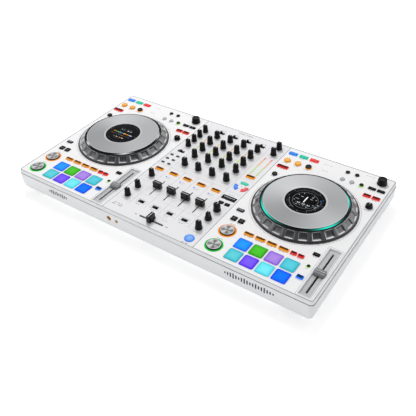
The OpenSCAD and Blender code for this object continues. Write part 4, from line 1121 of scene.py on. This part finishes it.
# scales round the knobs
for x, y, r in knob_spots:
    for k in range(11):
        a = radians(240 - 30 * k)
        big = k in (0, 5, 10)
        P.bar(x + (r + 2.0) * cos(a), y + (r + 2.0) * sin(a), x + (r + (3.2 if big else 2.7)) * cos(a), y + (r + (3.2 if big else 2.7)) * sin(a), 0.3, M_print)
    dashes(x, y - r - 4.6, 7, M_print)
for x in CH:
    for k in range(11):
        yy = -106 + 4.2 * k
        P.bar(x - 14.4, yy, x - 11.2, yy, 0.3, M_print)
        P.bar(x + 11.2, yy, x + (13.2 if k % 5 else 14.4), yy, 0.3, M_print)
    P.frame_strip(o_rr(x + 0.3, -137.6, 22, 13, 1.4), 0, 0.35, PZ - 0.03, PZ + 0.05, M_print)
    dashes(x, -148.2, 12, M_print)
    dashes(x + 1, -44, 10, M_printl)
    dashes(x - 1, -48.2, 11, M_printl)
    P.bar(x + 11.5, -26.5, x + 13.2, -26.5, 1.4, M_print)
    dashes(x + 1, 171, 13, M_print)
    P.bar(x - 7.6, 166, x - 6.2, 166, 0.8, M_print)
    P.bar(x - 1.9, 166, x - 0.5, 166, 0.8, M_print)
    P.bar(x + 4.4, 166, x + 5.8, 166, 0.8, M_print)
    P.bar(x + 9.6, 158, x + 12.6, 158, 0.9, M_print)
for k in range(13):
    xx = -24 + 4 * k
    P.bar(xx, -157, xx, -154.6 if k % 6 else -153.2, 0.3, M_print)
dashes(-38, -173, 5, M_print, 2.2)
dashes(38, -173, 5, M_print, 2.2)
dashes(24, -160, 16, M_printl)
dashes(93, -188.8, 18, M_printd)
dashes(-88, -166, 24, M_print, 1.3)
dashes(-88, -171, 30, M_print, 1.6)
dashes(91.5, -24.6, 16, M_printl)
dashes(91.6, 40.6, 13, M_print)
dashes(-SIDE, -36.8, 14, M_print)
dashes(93, 10, 7, M_print, 0.7)
dashes(0, 183, 42, M_print, 1.6)
P.frame_strip(o_rr(-93.9, 12.5, 30, 46, 1.4), 0, 0.3, PZ - 0.03, PZ + 0.05, M_printl)
for x in (83.7, 99.6):
    for k in range(8):
        P.bar(x + (2.6 if x < 90 else -2.6), 62 + 9 * k, x + (5.2 if x < 90 else -5.2), 62 + 9 * k, 0.4, M_printl)
# the generic bars on the front in place of any lettering
for x0, hs, st in ((-264, (6, 9, 12, 8, 10.5, 7, 9, 12, 8, 6), 5.5), (185, (5, 8, 11, 13, 9, 6, 10, 13, 10, 7, 9, 12, 8, 10, 13, 9, 7, 5), 5.8)):
    for k, hh in enumerate(hs):
        x = x0 + st * k
        q = [(x - 1.5, 33.2 - hh / 2), (x + 1.5, 33.2 - hh / 2), (x + 1.5, 33.2 + hh / 2), (x - 1.5, 33.2 + hh / 2)]
        P.rings([[(a, -HD + 0.1, b) for a, b in q], [(a, -HD - 0.02, b) for a, b in q]], M_printd)
# the soft line round the edge of the panels
P.frame_strip(o_rr(0, 0, 710, 384.2, 6, 8), 0, 1.7, PZ - 0.04, PZ + 0.05, M_edge)
P.done("panel_printing", "chassis", ())
P = Piece()
P.frame_strip(o_rr(0, 0, 715.4, 389.6, 8.7, 8), 0, 0.9, 46.35, 46.95, M_printd)
P.done("cover_seam_strip", "chassis", ())

# ---------------------------------------------------- liners and slot edges
P = Piece()
for dx in (0, DX):
    tx, ty = -132.4 + dx, -123
    zb = PZ - 2.6
    for sgn in (-1, 1):
        x0, x1 = sorted((tx + sgn * 1.2, tx + sgn * 10.6))
        P.stack(o_rr((x0 + x1) / 2, ty, x1 - x0, 125.6, 0.4), [(0, zb - 0.1), (0, zb + 0.1), (0.1, zb + 0.16)], M_tray)
        for k in range(21):
            yy = ty - 50.5 + 5 * k
            l = 3.4 if k % 5 == 0 else 2.0
            P.bar(tx + sgn * 6.6, yy, tx + sgn * (6.6 + l), yy, 0.3, M_printd, zb + 0.1, zb + 0.2)
    for sgn in (-1, 1):
        yy = ty + sgn * 58.3
        P.stack(o_rr(tx, yy, 2.4, 8.8, 0.2), [(0, zb - 0.1), (0, zb + 0.1), (0.1, zb + 0.16)], M_tray)
    P.frame_strip(o_rr(tx, ty - 0.5, 3.6, 108, 1.2), 0, 0.7, zb + 0.05, zb + 0.22, M_slot)
P.done("tempo_tray_liners", "chassis", ())

# black felt strips that close the slots round the levers, under the panel
P = Piece()
for x in CH:
    P.frame_strip(o_rr(x, -85, 3.2, 54, 1.4), 0, 0.85, PU - 1.2, PZ - 0.3, M_slot)
P.frame_strip(o_rr(0, -173, 57, 3.2, 1.4), 0, 0.85, PU - 1.2, PZ - 0.3, M_slot)
P.frame_strip(o_rr(0, -173, 58.6, 4.6, 2.2), 0, 0.8, PZ - 0.05, PZ + 0.06, M_gap)
P.done("slot_liners", "chassis", ())

# ------------------------------------------------------------------ sockets
P = Piece()
for k, x in enumerate((-232, -216, -186, -170, -140, -124, -94, -78, 2, 18)):
    m = plastic("insulator_red" if k % 2 else "insulator_white", "b8242a" if k % 2 else "e4e4e2", 0.4, 0.05, 0.05, 500, 0.08, 2500) if k < 2 else m0[k % 2]
    if k < 2:
        m0 = (m,) if k == 0 else (m0[0], m)
    y0 = HD + 9.25
    P.lathe(x, REAR_Z, [(1.65, y0 - 3), (3.4, y0 - 3), (3.4, y0 - 0.6), (3.2, y0 - 0.2), (1.9, y0 - 0.2), (1.65, y0 - 0.5)], m, 32, loop=True, axis="+y")
for x in (50, 72, 276):
    P.lathe(x, REAR_Z, [(3.3, HD + 0.6), (6.3, HD + 0.6), (6.5, HD + 0.9), (6.5, HD + 1.9), (6.2, HD + 2.2), (4.2, HD + 2.2), (3.6, HD + 2.0), (3.3, HD + 1.6)], M_chrome, 6 * 6, loop=True, axis="+y")
for x in (108, 142):
    f = o_rr(x, REAR_Z, 25.6, 29.6, 2.4)
    ring = o_circle(x, REAR_Z, 9.6, 24)
    outer = [(a, HD - 0.3, b) for a, b in f(0)][::-1]
    outer2 = [(a, HD + 0.9, b) for a, b in f(0)][::-1]
    outer3 = [(a, HD + 1.2, b) for a, b in f(0.4)][::-1]
    inner3 = [(a, HD + 1.2, b) for a, b in ring(0)][::-1]
    inner0 = [(a, HD - 0.3, b) for a, b in ring(0)][::-1]
    P.rings([outer, outer2, outer3, inner3, inner0], M_cap, loop=True)
    for sx, sz in ((-1, 1), (1, -1)):
        P.lathe(x + sx * 9.6, REAR_Z + sz * 11.6, [(0, HD + 0.9), (1.9, HD + 0.9), (1.9, HD + 1.5), (1.4, HD + 1.9), (0, HD + 1.9)], M_screw, 24, axis="+y")
y0 = HD
for x, r, mt in ((-94, 6.0, M_tray), (-73.9, 4.2, M_cap)):
    z = 33.1
    ri = 3.35 if r > 5 else 1.95
    P.lathe(x, z, [(ri, y0 - 1.2), (r - 0.8, y0 - 1.2), (r - 0.8, y0 - 0.2), (r - 1.2, y0 + 0.0), (ri + 0.5, y0 + 0.0), (ri, y0 - 0.5)], mt, 40, loop=True, axis="-y")
for x, w in ((-224, 20), (-178, 20), (-132, 20), (-86, 20), (10, 20), (61, 24), (125, 30), (186, 8), (206, 8), (236, 10), (276, 10)):
    xx = x - w / 2
    while xx < x + w / 2 - 1:
        l = 2.4 if int(xx) % 2 else 3.6
        zz = REAR_Z + (11.2 if not 100 < x < 150 else -14.2)
        q = [(xx, zz - 0.5), (xx + l, zz - 0.5), (xx + l, zz + 0.5), (xx, zz + 0.5)]
        if zz > REAR_Z:
            P.rings([[(a, HD - 0.55, b) for a, b in q][::-1], [(a, HD - 0.44, b) for a, b in q][::-1]], M_print)
        xx += l + 1.2
P.done("socket_trim", "chassis", ())

# ------------------------------------------------------------------- stage
me = bpy.data.meshes.new("floor")
me.from_pydata([(-9, -9, 0), (9, -9, 0), (9, 9, 0), (-9, 9, 0)], [], [(0, 1, 2, 3)])
floor = bpy.data.objects.new("floor", me)
bpy.context.scene.collection.objects.link(floor)
M_floor = plastic("floor_paper", (0.98, 0.98, 0.98), 0.9, 0.03, 0.002, 3, 0.02, 40, 0.2)
fb = M_floor.node_tree.nodes["Principled BSDF"]
fb.inputs["Emission Color"].default_value = (1, 1, 1, 1)
fb.inputs["Emission Strength"].default_value = 0.42
me.materials.append(M_floor)

scene = bpy.context.scene
world = bpy.data.worlds.new("studio")
scene.world = world
world.use_nodes = True
bg = world.node_tree.nodes["Background"]
bg.inputs["Color"].default_value = (1, 1, 1, 1)
# a studio that is brighter overhead and behind than in front
wn, wl = world.node_tree.nodes, world.node_tree.links
wt = wn.new("ShaderNodeTexCoord")
wd = wn.new("ShaderNodeVectorMath")
wd.operation = "DOT_PRODUCT"
wd.inputs[1].default_value = (-0.15, 0.65, 0.65)
wl.new(wt.outputs["Generated"], wd.inputs[0])
wm = wn.new("ShaderNodeMapRange")
wm.interpolation_type = "SMOOTHSTEP"
wm.inputs["From Min"].default_value = -0.35
wm.inputs["From Max"].default_value = 0.62
wm.inputs["To Min"].default_value = 0.20
wm.inputs["To Max"].default_value = 0.74
wl.new(wd.outputs["Value"], wm.inputs["Value"])
# the room behind the photographer's side is dark
wq = wn.new("ShaderNodeVectorMath")
wq.operation = "DOT_PRODUCT"
wq.inputs[1].default_value = (0.466, -0.633, 0.62)
wl.new(wt.outputs["Generated"], wq.inputs[0])
wr = wn.new("ShaderNodeMapRange")
wr.interpolation_type = "SMOOTHSTEP"
wr.inputs["From Min"].default_value = 0.35
wr.inputs["From Max"].default_value = 0.85
wr.inputs["To Min"].default_value = 1.0
wr.inputs["To Max"].default_value = 0.16
wl.new(wq.outputs["Value"], wr.inputs["Value"])
ww_ = wn.new("ShaderNodeMath")
ww_.operation = "MULTIPLY"
wl.new(wm.outputs["Result"], ww_.inputs[0])
wl.new(wr.outputs["Result"], ww_.inputs[1])
# a white surround low down, all round the object
ws = wn.new("ShaderNodeSeparateXYZ")
wl.new(wt.outputs["Generated"], ws.inputs["Vector"])
wa = wn.new("ShaderNodeMath")
wa.operation = "ABSOLUTE"
wl.new(ws.outputs["Z"], wa.inputs[0])
wb = wn.new("ShaderNodeMapRange")
wb.interpolation_type = "SMOOTHSTEP"
wb.inputs["From Min"].default_value = 0.10
wb.inputs["From Max"].default_value = 0.42
wb.inputs["To Min"].default_value = 0.80
wb.inputs["To Max"].default_value = 0.0
wl.new(wa.outputs["Value"], wb.inputs["Value"])
wx = wn.new("ShaderNodeMath")
wx.operation = "MAXIMUM"
wl.new(ww_.outputs["Value"], wx.inputs[0])
wl.new(wb.outputs["Result"], wx.inputs[1])
wl.new(wx.outputs["Value"], bg.inputs["Strength"])


def area(name, loc, target, size, power, col=(1, 1, 1), sy=None):
    d = bpy.data.lights.new(name, "AREA")
    d.energy = power
    d.color = col
    d.size = size
    if sy:
        d.shape = "RECTANGLE"
        d.size_y = sy
    o = bpy.data.objects.new(name, d)
    o.location = loc
    o.rotation_euler = (Vector(target) - Vector(loc)).to_track_quat("-Z", "Y").to_euler()
    scene.collection.objects.link(o)
    return o


key = area("key", (-0.92, 1.15, 2.35), (0, 0, 0.04), 0.8, 39, sy=0.8)
key.visible_glossy = False   # the softbox itself is not mirrored in the metal
area("top", (0.6, 0.5, 2.7), (0, 0, 0), 2.2, 6)
fill = area("fill", (-0.5, -2.5, 1.25), (0, 0, 0), 2.2, 16)
fill.visible_glossy = False

scene.view_settings.view_transform = "Standard"
scene.view_settings.look = "None"

cam_d = bpy.data.cameras.new("camera")
cam = bpy.data.objects.new("camera", cam_d)
scene.collection.objects.link(cam)
scene.camera = cam
cam_d.sensor_width = 36
cam_d.lens = 49.07
cam_d.clip_start, cam_d.clip_end = 0.05, 30
rv = Vector((2.19286957, 0.658763299, -0.353327092))
R = Matrix.Rotation(rv.length, 3, rv.normalized())
right, down, fwd = R[0], R[1], R[2]
cm = Matrix((right, -down, -fwd)).transposed()
cam.rotation_mode = "QUATERNION"
cam.rotation_quaternion = cm.to_quaternion()
cam.location = (0.57995, -0.78764, 0.77375)
